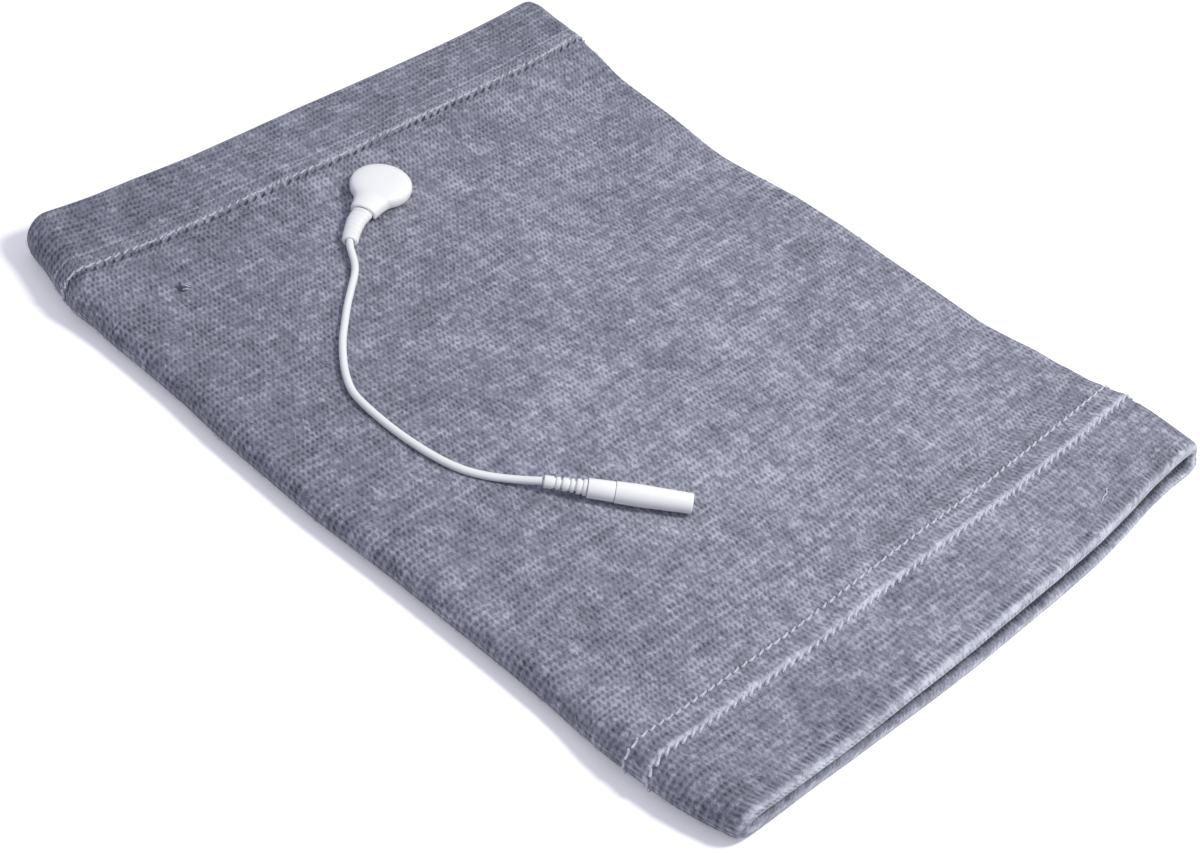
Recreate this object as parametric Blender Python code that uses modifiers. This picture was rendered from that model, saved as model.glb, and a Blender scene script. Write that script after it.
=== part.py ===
"""A knit garment sleeve electrode lying flat, with its snap lead clipped on, at real size in metres.

X runs along the sleeve, Y across it and Z up. The sleeve lies on z = 0, and the origin is at the middle
of its underside. Both of its ends are hemmed by turning the knit in. A press stud comes through the top
layer near the far hem (-X). The lead's head snaps onto that stud, and its cable ends in a pin socket.
"""

import math

import bmesh
import bpy
import numpy as np
from mathutils import Matrix, Vector

# Fit of pieces that touch
SEAT_GAP = 0.0003
PARTING_GAP = 0.0002

# Sleeve: plan. The tables give how far an edge stands out from straight, at each share of its half length
SLEEVE_LENGTH = 0.2070
BODY_WIDTH = 0.1560
NEAR_BOW = 0.0030
NEAR_BOW_SHARES = [
    (-1.0, 0.0), (-0.87, 0.15), (-0.7, 0.28), (-0.55, 0.5), (-0.4, 0.67), (-0.25, 0.85), (-0.1, 0.97), (0.25, 1.0),
    (0.45, 0.9), (0.6, 0.6), (0.75, 0.15), (0.87, 0.0), (1.0, 0.1),
]
TOP_BOW_SHARE = 0.75
BOW_REACH = 0.0190
FAR_INSET = [
    (-1.0, 0.0010), (-0.9, 0.0005), (-0.75, 0.0006), (-0.6, 0.0003), (-0.4, 0.0007), (0.0, 0.0003), (0.6, 0.0005),
    (1.0, 0.0006),
]
LEFT_EDGE = [
    (-1.0, -0.0034), (-0.966, -0.0015), (-0.763, 0.0032), (-0.56, 0.0023), (-0.02, 0.0036), (0.454, 0.0020),
    (0.589, 0.0020), (0.725, 0.0030), (0.88, 0.0019), (1.0, -0.0014),
]
RIGHT_EDGE = [
    (-1.0, 0.0029), (-0.966, 0.0037), (-0.83, 0.0023), (-0.763, 0.0003), (-0.49, -0.0018), (-0.29, -0.0042),
    (-0.087, -0.0017), (0.048, -0.0014), (0.454, -0.0033), (0.589, -0.0009), (0.66, -0.0006),
    (0.725, -0.0017), (0.8, 0.0001), (0.86, 0.0006), (1.0, -0.0004),
]

# Sleeve: knit and hems
FABRIC = 0.0014
HEM_PLY_GAP = 0.0004
HEM_DEPTH = 0.0270
HEM_STEP_LENGTH = 0.0075
SIDE_STEP_LENGTH = 0.0140
FAR_SEAM_FROM_END = 0.0202
NEAR_SEAM_FROM_END = 0.0194
SEAM_RIDGE_HEIGHT = 0.0004
SEAM_RIDGE_HALF_WIDTH = 0.0011

# Sleeve: height of the hollow between its two layers
BODY_HOLLOW = 0.0030
BODY_SIDE_HOLLOW = 0.0036
FAR_HEM_HOLLOW = 0.0006
NEAR_HEM_HOLLOW = 0.0012
HEM_SIDE_HOLLOW = 0.0028

# Sleeve: slow waves of the top layer
WAVE_HEIGHT = 0.0003
WAVE_LENGTH = 0.0700
WAVE_WIDTH = 0.0900

# Sleeve: how finely the surface is divided
SIDE_ARC_STEPS = 6
BODY_STEPS = 17
TOP_STEPS = 12
BOTTOM_STEPS = 4
FOLD_STEPS = 6

# Press stud through the top layer
HEAD_FROM_FAR_END = 0.0357
HEAD_Y = -0.0040
STUD_FLANGE_RADIUS = 0.0045
STUD_FLANGE_THICKNESS = 0.0004
STUD_NECK_RADIUS = 0.00145
STUD_NECK_HEIGHT = 0.00125
STUD_BALL_RADIUS = 0.00195
STUD_BALL_HEIGHT = 0.00135
POST_RADIUS = 0.0009
POST_HEIGHT = 0.0018
CAP_RADIUS = 0.0050
CAP_THICKNESS = 0.0006

# Lead's head: snap inside it
CUP_WALL = 0.0004
CUP_TOP_WALL = 0.0003
CUP_FLANGE_RADIUS = 0.0040
CUP_FLANGE_THICKNESS = 0.0003
CUP_LIP_HEIGHT = 0.00055
SPRING_WIRE_RADIUS = 0.0002
SPRING_RADIUS = 0.0020
SPRING_ARC = math.radians(300)

# Lead's head: plastic
NECK_ANGLE = math.radians(-65)
HEAD_RADIUS = 0.0071
HEAD_WALL = 0.0007
HEAD_UNDERSIDE = 0.0008
HEAD_WIDEST_HEIGHT = 0.0025
HEAD_UNDERCUT = 0.0009
HEAD_RIM_WIDTH = 0.0009
HEAD_ROUNDNESS = 2.6
NECK_LENGTH = 0.0109
NECK_WALL = 0.0005
NECK_FLARE = [(0.0018, 0.0060), (0.0034, 0.0054), (0.0051, 0.0044), (0.0069, 0.0037), (0.0088, 0.0033)]
MOUTH_LEAN = -0.15
BASE_THICKNESS = 0.0008
BASE_SLOT_WIDTH = 0.0026

# Wire ends and crimps
WIRE_RADIUS = 0.00035
CRIMP_WALL = 0.00025
CRIMP_LENGTH = 0.0016
TERMINAL_STRIP_WIDTH = 0.0016
TERMINAL_STRIP_THICKNESS = 0.0003

# Head boot, the strain relief
BOOT_START = 0.0066
BOOT_HALF_WIDTH = 0.00235
BOOT_HALF_HEIGHT = 0.0015
BOOT_END_HALF_WIDTH = 0.00185
BOOT_END_HALF_HEIGHT = 0.00145
BOOT_AXIS_HEIGHT = 0.00190
BOOT_GROOVES = 5
BOOT_GROOVE_DEPTH = 0.00010
BOOT_GROOVE_START = 0.0030
BOOT_GROOVE_PITCH = 0.0015
BOOT_ROUTE = [
    (0.00570, -0.01240, 0.00745), (0.00715, -0.01460, 0.00745), (0.00870, -0.01670, 0.00745),
    (0.01050, -0.01885, 0.00750),
]

# Cable: the middle of its route, from the head boot to the socket's boot. X and Y are from the head's centre
CABLE_DIAMETER = 0.00165
CABLE_STEP = 2.0 * CABLE_DIAMETER
CABLE_ROUTE = [
    (0.01070, -0.01905, 0.00765), (0.01210, -0.02015, 0.00755), (0.01390, -0.02115, 0.00735),
    (0.01580, -0.02225, 0.00710), (0.01750, -0.02355, 0.00697), (0.01910, -0.02525, 0.00693),
    (0.02080, -0.02735, 0.00690), (0.02250, -0.02945, 0.00688), (0.02550, -0.03305, 0.00686),
    (0.02890, -0.03675, 0.00688), (0.03290, -0.04095, 0.00692), (0.03720, -0.04475, 0.00700),
    (0.04180, -0.04815, 0.00710), (0.04650, -0.05055, 0.00718), (0.05160, -0.05145, 0.00722),
    (0.05910, -0.05175, 0.00724), (0.06570, -0.05135, 0.00722), (0.07170, -0.05045, 0.00720),
    (0.07700, -0.04875, 0.00716), (0.08120, -0.04625, 0.00716), (0.08400, -0.04415, 0.00725),
    (0.08670, -0.04215, 0.00758), (0.08870, -0.04075, 0.00800), (0.08996, -0.03976, 0.00830),
]

# Pin socket: where the cable enters it, from the head's centre
SOCKET_X = 0.09020
SOCKET_Y = -0.03955
SOCKET_ANGLE = math.radians(39.4)
SOCKET_AXIS_HEIGHT = 0.00836

# Pin socket: ribbed boot, as (front end of the rib, radius) from the cable forwards
SOCKET_RIBS = [(0.0019, 0.00130), (0.0032, 0.00132), (0.0048, 0.00138), (0.0060, 0.00142), (0.0073, 0.00158),
               (0.0086, 0.00165)]
SOCKET_GROOVE_WIDTH = 0.0004
SOCKET_FAINT_GROOVE_DEPTH = 0.00015
SOCKET_DEEP_GROOVE_DEPTH = 0.00040
SOCKET_DEEP_GROOVES = (1, 3)
SOCKET_SPIGOT_RADIUS = 0.0011
SOCKET_SPIGOT_LENGTH = 0.0010

# Pin socket: collar and shell
COLLAR_LENGTH = 0.0053
COLLAR_REAR_RADIUS = 0.0020
COLLAR_FRONT_RADIUS = 0.00212
COLLAR_SPIGOT_LENGTH = 0.0021
COLLAR_SPIGOT_WALL = 0.0004
SHELL_LENGTH = 0.0154
SHELL_REAR_RADIUS = 0.00222
SHELL_BELLY_RADIUS = 0.0023
SHELL_BELLY_FROM_REAR = 0.0042
SHELL_TIP_RADIUS = 0.00208
SHELL_TIP_EDGE = 0.0005
SHELL_LIP = 0.0022

# Pin socket: slotted contact for a 2 mm pin
PIN_BORE_RADIUS = 0.00102
CONTACT_WALL = 0.00023
CONTACT_LENGTH = 0.0104
CONTACT_REAR_LENGTH = 0.0058
CONTACT_BORE_DEPTH = 0.0098
CONTACT_SLOT_WIDTH = 0.0004
CONTACT_SLOT_LENGTH = 0.0075

# Colours, as linear red, green and blue
KNIT_COLOUR = (0.25, 0.255, 0.345)
WHITE_PVC = (0.88, 0.885, 0.89)
WHITE_SHELL = (0.85, 0.855, 0.86)
NICKEL = (0.70, 0.69, 0.66)
BRASS = (0.78, 0.58, 0.27)
COPPER = (0.80, 0.45, 0.30)

FACTOR_OF_FLAT = 4
MERGE = 0.00001


def make_collection(name):
    """A new collection under the scene's own."""
    collection = bpy.data.collections.new(name)
    bpy.context.scene.collection.children.link(collection)
    return collection


def make_material(name, colour, roughness, metallic=0.0):
    """A Principled material of one colour."""
    material = bpy.data.materials.new(name)
    material.use_nodes = True
    shader = material.node_tree.nodes["Principled BSDF"]
    shader.inputs["Base Color"].default_value = (*colour, 1.0)
    shader.inputs["Roughness"].default_value = roughness
    shader.inputs["Metallic"].default_value = metallic
    return material


def add_object(name, data, material, collection, parent=None, matrix=None):
    """Links an object for this mesh or curve, in its parent's frame."""
    made = bpy.data.objects.new(name, data)
    data.materials.append(material)
    collection.objects.link(made)
    made.parent = parent
    if matrix is not None:
        made.matrix_basis = matrix
    return made


def add_seat(name, collection, matrix):
    """An empty that the pieces of one group are placed from."""
    seat = bpy.data.objects.new(name, None)
    collection.objects.link(seat)
    seat.matrix_world = matrix
    return seat


def as_cutter(cutter):
    """Marks an object as a cutter, which the finished model doesn't show."""
    cutter.display_type = "WIRE"
    cutter.hide_render = True
    return cutter


def boolean(target, other, operation):
    """Adds a live Boolean modifier with the exact solver."""
    modifier = target.modifiers.new(f"{operation.lower()} {other.name}", "BOOLEAN")
    modifier.operation = operation
    modifier.solver = "EXACT"
    modifier.object = other


def turned(name, profile, steps, *place):
    """Turns (radius, height) points about Z. They run down the outer side, from top to bottom."""
    mesh = bpy.data.meshes.new(name)
    count = len(profile)
    edges = [(i, i + 1) for i in range(count - 1)]
    if profile[0][0] > MERGE:
        edges.append((count - 1, 0))
    mesh.from_pydata([(radius, 0.0, height) for radius, height in profile], edges, [])
    made = add_object(name, mesh, *place)
    screw = made.modifiers.new("turn", "SCREW")
    screw.axis = "Z"
    screw.steps = steps
    screw.render_steps = steps
    screw.use_merge_vertices = True
    screw.merge_threshold = MERGE
    screw.use_smooth_shade = True
    return made


def loft(name, sections, *place, caps=True):
    """Joins closed sections of equal point counts into one surface, with flat ends where caps is set."""
    bm = bmesh.new()
    rings = [[bm.verts.new(point) for point in section] for section in sections]
    count = len(rings[0])
    for ring, following in zip(rings, rings[1:]):
        for i in range(count):
            j = (i + 1) % count
            bm.faces.new((ring[i], ring[j], following[j], following[i]))
    if caps:
        bm.faces.new(list(reversed(rings[0])))
        bm.faces.new(rings[-1])
    bmesh.ops.recalc_face_normals(bm, faces=bm.faces)
    mesh = bpy.data.meshes.new(name)
    bm.to_mesh(mesh)
    bm.free()
    mesh.shade_smooth()
    mesh.set_sharp_from_angle(angle=math.radians(40))
    return add_object(name, mesh, *place)


def smooth_path(points, step):
    """Evenly spaced points on a smooth curve through the route's own points."""
    points = [Vector(point) for point in points]
    guide = [2 * points[0] - points[1], *points, 2 * points[-1] - points[-2]]
    dense = []
    for before, start, end, after in zip(guide, guide[1:], guide[2:], guide[3:]):
        for share in (i / 16 for i in range(16)):
            a = 2 * start
            b = end - before
            c = 2 * before - 5 * start + 4 * end - after
            d = 3 * start - before - 3 * end + after
            dense.append((a + b * share + c * share**2 + d * share**3) / 2)
    dense.append(points[-1])
    lengths = [0.0]
    for start, end in zip(dense, dense[1:]):
        lengths.append(lengths[-1] + (end - start).length)
    count = max(2, round(lengths[-1] / step))
    evenly = []
    index = 0
    for i in range(count + 1):
        wanted = lengths[-1] * i / count
        while index < len(lengths) - 2 and lengths[index + 1] < wanted:
            index += 1
        share = (wanted - lengths[index]) / (lengths[index + 1] - lengths[index])
        evenly.append(dense[index].lerp(dense[index + 1], min(1.0, share)))
    return evenly


def tube(name, points, radius, *place):
    """A round wire or cable along these points, with closed ends."""
    curve = bpy.data.curves.new(name, "CURVE")
    curve.dimensions = "3D"
    curve.bevel_depth = radius
    curve.bevel_resolution = 2
    curve.use_fill_caps = True
    spline = curve.splines.new("POLY")
    spline.points.add(len(points) - 1)
    for target, point in zip(spline.points, points):
        target.co = (*point, 1.0)
    return add_object(name, curve, *place)


def box(name, low, high, *place):
    """A box between two corners."""
    bm = bmesh.new()
    bmesh.ops.create_cube(bm, size=1.0)
    low, high = Vector(low), Vector(high)
    scale = Matrix.Diagonal((*(high - low), 1.0))
    bmesh.ops.transform(bm, matrix=Matrix.Translation((low + high) / 2) @ scale, verts=bm.verts)
    mesh = bpy.data.meshes.new(name)
    bm.to_mesh(mesh)
    bm.free()
    return add_object(name, mesh, *place)


def ease(share):
    """Goes from 0 to 1 with level ends, for a share from 0 to 1."""
    share = min(1.0, max(0.0, share))
    return share * share * (3 - 2 * share)


MIDDLE_X = -NEAR_BOW / 2
HEAD_X = MIDDLE_X - SLEEVE_LENGTH / 2 + HEAD_FROM_FAR_END
HEM_PLY = 2 * FABRIC + HEM_PLY_GAP
BODY_HEIGHT = 2 * FABRIC + BODY_HOLLOW
BODY_SIDE_HEIGHT = 2 * FABRIC + BODY_SIDE_HOLLOW
HEM_SIDE_HEIGHT = 2 * HEM_PLY + HEM_SIDE_HOLLOW
FOLD_RADIUS = HEM_PLY / 2
SLOPE_REACH = 0.001


def from_head(points):
    """Moves points that are given from the head's centre to the sleeve's own frame."""
    return [Vector((HEAD_X + x, HEAD_Y + y, z)) for x, y, z in points]


def from_table(table, share):
    """The value that a table gives at a share."""
    shares, values = zip(*table)
    return float(np.interp(share, shares, values))


def from_end(x):
    """How far x is from the nearer end of the sleeve."""
    return SLEEVE_LENGTH / 2 - abs(x - MIDDLE_X)


def hem_share(x, length):
    """1 in the hems, falling to 0 over this length past their inner stitching."""
    start = HEM_DEPTH - SEAM_RIDGE_HALF_WIDTH * 2
    return 1 - ease((from_end(x) - start) / length)


def outline(x, table):
    """How far the outline is from the sleeve's centre line on one side, and its slope."""
    half_length = SLEEVE_LENGTH / 2
    share = (x - MIDDLE_X) / half_length
    reach = SLOPE_REACH / half_length
    rise = from_table(table, share + reach) - from_table(table, share - reach)
    return BODY_WIDTH / 2 + from_table(table, share), rise / (2 * SLOPE_REACH)


def side_edges(x, inset):
    """The Y of the sleeve's left and right edges at x, for a layer this far inside the outer face."""
    left, left_slope = outline(x, LEFT_EDGE)
    right, right_slope = outline(x, RIGHT_EDGE)
    return inset * math.hypot(1, left_slope) - left, right - inset * math.hypot(1, right_slope)


def end_shift(x, y, height_share):
    """How far the bowed ends move this point along X."""
    share = y / (BODY_WIDTH / 2)
    falloff = 1 - ease(from_end(x) / BOW_REACH)
    if x < MIDDLE_X:
        return from_table(FAR_INSET, share) * falloff
    bow = NEAR_BOW * from_table(NEAR_BOW_SHARES, share)
    return bow * falloff * (1 - (1 - TOP_BOW_SHARE) * height_share)


def side_height(x):
    """Height of the rounded folds along the sleeve's two sides."""
    return BODY_SIDE_HEIGHT + (HEM_SIDE_HEIGHT - BODY_SIDE_HEIGHT) * hem_share(x, SIDE_STEP_LENGTH)


def seam_ridge(x):
    """Height of the ridge that the cover stitching raises."""
    seam = FAR_SEAM_FROM_END if x < MIDDLE_X else NEAR_SEAM_FROM_END
    share = abs(from_end(x) - seam) / SEAM_RIDGE_HALF_WIDTH
    return SEAM_RIDGE_HEIGHT * max(0.0, 1 - share)


def sleeve_top(x, y):
    """Height of the top layer's outer face, between the side folds."""
    left, right = side_edges(x, 0.0)
    side = side_height(x)
    hollow = FAR_HEM_HOLLOW if x < MIDDLE_X else NEAR_HEM_HOLLOW
    hem_height = 2 * HEM_PLY + hollow
    middle = BODY_HEIGHT + (hem_height - BODY_HEIGHT) * hem_share(x, HEM_STEP_LENGTH)
    across = min(1.0, abs(y - (left + right) / 2) / ((right - left - side) / 2))
    wave = math.cos(math.tau * (x - HEAD_X) / WAVE_LENGTH) * math.cos(math.tau * (y - HEAD_Y) / WAVE_WIDTH)
    level = (1 - across**2) * (1 - hem_share(x, HEM_STEP_LENGTH))
    return middle + (side - middle) * across**FACTOR_OF_FLAT - WAVE_HEIGHT * wave * level


def sleeve_ring(x, inset):
    """One closed section across the sleeve, this far inside its outer face."""
    left, right = side_edges(x, inset)
    side = side_height(x)
    radius = side / 2 - inset
    ridge = seam_ridge(x) if inset < FABRIC else 0.0
    centre_left, centre_right = left + radius, right - radius
    points = []
    for i in range(BOTTOM_STEPS):
        share = i / BOTTOM_STEPS
        points.append((x, centre_left + (centre_right - centre_left) * share, inset))
    for i in range(SIDE_ARC_STEPS):
        turn = math.pi * i / SIDE_ARC_STEPS
        rise = side / 2 - radius * math.cos(turn) + ridge * ease(turn / math.pi)
        points.append((x, centre_right + radius * math.sin(turn), rise))
    for i in range(TOP_STEPS + 1):
        y = centre_right + (centre_left - centre_right) * i / TOP_STEPS
        points.append((x, y, sleeve_top(x, y) - inset + ridge))
    for i in range(1, SIDE_ARC_STEPS):
        turn = math.pi * (1 - i / SIDE_ARC_STEPS)
        rise = side / 2 - radius * math.cos(turn) + ridge * ease(turn / math.pi)
        points.append((x, centre_left - radius * math.sin(turn), rise))
    return [(x + end_shift(x, y, z / side), y, z) for _, y, z in points]


def hem_stations(seam):
    """Distance from the end and inset of each section, from the hem's raw edge round its fold to the body."""
    stations = [(HEM_DEPTH * share, HEM_PLY) for share in (1.0, 0.7, 0.42, 0.2)]
    for i in range(FOLD_STEPS + 1):
        turn = math.pi * (1 - i / FOLD_STEPS)
        stations.append((FOLD_RADIUS * (1 - math.sin(turn)), FOLD_RADIUS * (1 - math.cos(turn))))
    inner = seam - SEAM_RIDGE_HALF_WIDTH
    stations += [(FOLD_RADIUS + (inner - FOLD_RADIUS) * share, 0.0) for share in (0.18, 0.45, 0.75)]
    stations += [(seam + SEAM_RIDGE_HALF_WIDTH * side, 0.0) for side in (-1, 0, 1)]
    stations += [(HEM_DEPTH + HEM_STEP_LENGTH * share, 0.0) for share in (0.0, 0.5)]
    return stations


def build_sleeve(parts, cutters, knit, seat_matrix):
    """The knit tube: one sheet that runs along the outside and turns in at both ends."""
    half = SLEEVE_LENGTH / 2
    far = [(MIDDLE_X - half + distance, inset) for distance, inset in hem_stations(FAR_SEAM_FROM_END)]
    near = [(MIDDLE_X + half - distance, inset) for distance, inset in reversed(hem_stations(NEAR_SEAM_FROM_END))]
    start = far[-1][0]
    end = near[0][0]
    body = [(start + (end - start) * i / BODY_STEPS, 0.0) for i in range(1, BODY_STEPS)]
    rings = [sleeve_ring(x, inset) for x, inset in far + body + near]
    sleeve = loft("knit_sleeve", rings, knit, parts, caps=False)
    wall = sleeve.modifiers.new("knit thickness", "SOLIDIFY")
    wall.thickness = FABRIC
    wall.offset = -1.0
    wall.use_even_offset = True
    hole_radius = POST_RADIUS + SEAT_GAP
    hole = turned("post_hole", [(0, FABRIC), (hole_radius, FABRIC), (hole_radius, -2 * FABRIC), (0, -2 * FABRIC)],
                  24, knit, cutters, None, seat_matrix)
    boolean(sleeve, as_cutter(hole), "DIFFERENCE")
    return sleeve


def stud_levels():
    """Heights above the knit of the stud's flange, neck and ball."""
    flange_top = SEAT_GAP + STUD_FLANGE_THICKNESS
    neck_top = flange_top + STUD_NECK_HEIGHT
    return flange_top, neck_top, neck_top + STUD_BALL_HEIGHT


def build_garment_snap(parts, seat, nickel):
    """The stud outside the top layer, and the cap inside it whose post goes through the knit."""
    flange_top, neck_top, ball_top = stud_levels()
    bore = POST_RADIUS + SEAT_GAP
    widest = neck_top + 0.4 * STUD_BALL_HEIGHT
    rim = STUD_FLANGE_THICKNESS / 2
    turned("garment_stud", [
        (0, ball_top), (0.62 * STUD_BALL_RADIUS, ball_top), (0.87 * STUD_BALL_RADIUS, ball_top - 0.16 * STUD_BALL_HEIGHT),
        (STUD_BALL_RADIUS, widest + 0.12 * STUD_BALL_HEIGHT), (STUD_BALL_RADIUS, widest),
        (STUD_NECK_RADIUS, neck_top), (STUD_NECK_RADIUS, flange_top), (STUD_FLANGE_RADIUS - rim, flange_top),
        (STUD_FLANGE_RADIUS, flange_top - rim), (STUD_FLANGE_RADIUS, SEAT_GAP), (bore, SEAT_GAP),
        (bore, POST_HEIGHT + SEAT_GAP), (0, POST_HEIGHT + SEAT_GAP),
    ], 32, nickel, parts, seat)
    cap_top = -FABRIC - SEAT_GAP
    cap_bottom = cap_top - CAP_THICKNESS
    edge = CAP_THICKNESS / 3
    turned("garment_cap", [
        (0, POST_HEIGHT), (0.8 * POST_RADIUS, POST_HEIGHT), (POST_RADIUS, POST_HEIGHT - 0.2 * POST_RADIUS),
        (POST_RADIUS, cap_top), (CAP_RADIUS - edge, cap_top), (CAP_RADIUS, cap_top - edge),
        (CAP_RADIUS, cap_bottom + edge), (CAP_RADIUS - edge, cap_bottom), (0, cap_bottom),
    ], 32, nickel, parts, seat)


def cup_levels():
    """Heights of the snap cup's underside, groove and top, and the spring that sits in the groove."""
    flange_top, neck_top, ball_top = stud_levels()
    underside = flange_top + SEAT_GAP
    groove_low = underside + CUP_FLANGE_THICKNESS
    spring = groove_low + SEAT_GAP + SPRING_WIRE_RADIUS
    groove_high = spring + SPRING_WIRE_RADIUS + SEAT_GAP
    inner_top = ball_top + SEAT_GAP
    return underside, groove_low, spring, groove_high, inner_top, inner_top + CUP_TOP_WALL


def build_snap(parts, seat, nickel, steel):
    """The metal cup that clips over the stud, and the spring ring in its groove."""
    underside, groove_low, spring, groove_high, inner_top, top = cup_levels()
    mouth = STUD_BALL_RADIUS + SEAT_GAP
    groove = SPRING_RADIUS + SPRING_WIRE_RADIUS + SEAT_GAP
    outer = groove + CUP_WALL
    turned("snap_cup", [
        (0, top), (outer - CUP_WALL, top), (outer, top - CUP_WALL), (outer, groove_low),
        (CUP_FLANGE_RADIUS, groove_low), (CUP_FLANGE_RADIUS, underside), (mouth, underside),
        (mouth, groove_low), (groove, groove_low), (groove, groove_high), (mouth, groove_high),
        (mouth, inner_top), (0, inner_top),
    ], 32, nickel, parts, seat)
    opening = math.tau - SPRING_ARC
    points = []
    for i in range(25):
        turn = opening / 2 + SPRING_ARC * i / 24
        points.append((SPRING_RADIUS * math.cos(turn), SPRING_RADIUS * math.sin(turn), spring))
    tube("snap_spring", points, SPRING_WIRE_RADIUS, steel, parts, seat)
    return outer


def dome_profile(radius, shoulder, crown, steps=8):
    """A button's rounded top, from its crown out and down to its shoulder."""
    power = 2 / HEAD_ROUNDNESS
    turns = [math.pi / 2 * i / steps for i in range(steps + 1)]
    return [(radius * math.sin(turn) ** power, shoulder + (crown - shoulder) * max(0.0, math.cos(turn)) ** power)
            for turn in turns]


def arch(distance, half_width, top, bottom, lean):
    """A section of the neck: an arched tunnel, leaning forward at its foot."""
    points = []
    spring_line = bottom + 0.42 * (top - bottom)
    outline = [(-half_width, bottom)]
    for i in range(13):
        turn = math.pi * (1 - i / 12)
        outline.append((half_width * math.cos(turn), spring_line + (top - spring_line) * math.sin(turn)))
    outline.append((half_width, bottom))
    for across, height in outline:
        points.append((distance + lean * (top - height), across, height))
    return points


def build_head(parts, cutters, seat, pvc, cup_outer):
    """The head's moulded cover with its neck, and the carrier that closes it round the snap cup."""
    underside, groove_low, _, _, _, cup_top = cup_levels()
    crown = cup_top + SEAT_GAP + HEAD_WALL
    below = -HEAD_WALL
    lower = HEAD_WIDEST_HEIGHT - HEAD_UNDERSIDE
    undercut = [(HEAD_RADIUS - HEAD_UNDERCUT * (1 - math.cos(turn)), HEAD_WIDEST_HEIGHT - lower * math.sin(turn))
                for turn in (math.pi / 2 * i / 5 for i in range(1, 6))]
    cover = turned("head_cover", [*dome_profile(HEAD_RADIUS, HEAD_WIDEST_HEIGHT, crown), *undercut, (0, HEAD_UNDERSIDE)],
                   48, pvc, parts, seat)
    tunnel_half = BOOT_HALF_WIDTH + PARTING_GAP
    tunnel_top = BOOT_AXIS_HEIGHT + BOOT_HALF_HEIGHT + SEAT_GAP
    neck_top = tunnel_top + NECK_WALL
    flare = [arch(distance, half_width, crown - HEAD_WALL / 2 - (crown - HEAD_WALL / 2 - neck_top) * distance / NECK_LENGTH,
                  HEAD_UNDERSIDE, 0.0) for distance, half_width in NECK_FLARE]
    mouth = arch(NECK_LENGTH, tunnel_half + NECK_WALL, neck_top, HEAD_UNDERSIDE, MOUTH_LEAN)
    neck = loft("neck_outside", [*flare, mouth], pvc, cutters, seat)
    inner_radius = HEAD_RADIUS - HEAD_UNDERCUT - HEAD_RIM_WIDTH
    hollow = turned("head_hollow", [*dome_profile(inner_radius, HEAD_WIDEST_HEIGHT, crown - HEAD_WALL),
                                    (inner_radius, below), (0, below)], 40, pvc, cutters, seat)
    tunnel = loft("neck_tunnel", [
        arch(NECK_FLARE[0][0], tunnel_half, tunnel_top, below, 0.0),
        arch(NECK_LENGTH + HEAD_RADIUS, tunnel_half, tunnel_top, below, 0.0),
    ], pvc, cutters, seat)
    boolean(cover, as_cutter(neck), "UNION")
    boolean(cover, as_cutter(hollow), "DIFFERENCE")
    boolean(cover, as_cutter(tunnel), "DIFFERENCE")
    base_low = groove_low + SEAT_GAP
    base_high = base_low + BASE_THICKNESS
    base_radius = inner_radius - SEAT_GAP
    hole = cup_outer + SEAT_GAP
    base = turned("head_base", [
        (hole, base_high), (base_radius, base_high), (base_radius, base_low), (hole, base_low),
    ], 40, pvc, parts, seat)
    slot = box("base_slot", (0, -BASE_SLOT_WIDTH / 2, base_low - BASE_THICKNESS),
               (HEAD_RADIUS, BASE_SLOT_WIDTH / 2, base_high + BASE_THICKNESS), pvc, cutters, seat)
    boolean(base, as_cutter(slot), "DIFFERENCE")


def build_head_wiring(parts, cutters, seat, nickel, copper, cup_outer):
    """The crimp terminal beside the snap cup, and the bare wire end that it grips."""
    along_x = Matrix.Rotation(math.pi / 2, 4, "Y")
    bore = WIRE_RADIUS + SEAT_GAP
    outer = bore + CRIMP_WALL
    wire_end = BOOT_START - SEAT_GAP
    crimp_end = wire_end - SEAT_GAP
    crimp_start = crimp_end - CRIMP_LENGTH
    place = Matrix.Translation((crimp_start, 0, BOOT_AXIS_HEIGHT)) @ along_x
    terminal = turned("head_terminal", [
        (bore, CRIMP_LENGTH), (outer, CRIMP_LENGTH), (outer, 0), (bore, 0),
    ], 20, nickel, parts, seat, place)
    strip_low = BOOT_AXIS_HEIGHT + bore + CRIMP_WALL / 5
    strip = box("terminal_strip", (cup_outer + SEAT_GAP, -TERMINAL_STRIP_WIDTH / 2, strip_low),
                (crimp_start + CRIMP_LENGTH / 2, TERMINAL_STRIP_WIDTH / 2, strip_low + TERMINAL_STRIP_THICKNESS),
                nickel, cutters, seat)
    boolean(terminal, as_cutter(strip), "UNION")
    wire_start = crimp_start + SEAT_GAP
    tube("head_wire_end", [(wire_start, 0, BOOT_AXIS_HEIGHT), (wire_end, 0, BOOT_AXIS_HEIGHT)], WIRE_RADIUS,
         copper, parts, seat)


def oval_sections(path, half_widths, half_heights, steps=14):
    """Upright oval sections along a path, one for each of its points."""
    sections = []
    for i, centre in enumerate(path):
        ahead = path[min(i + 1, len(path) - 1)] - path[max(i - 1, 0)]
        side = Vector((-ahead.y, ahead.x, 0.0)).normalized()
        rise = ahead.cross(side).normalized()
        ring = []
        for j in range(steps):
            turn = math.tau * j / steps
            ring.append(centre + side * half_widths[i] * math.cos(turn) + rise * half_heights[i] * math.sin(turn))
        sections.append(ring)
    return sections


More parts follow.
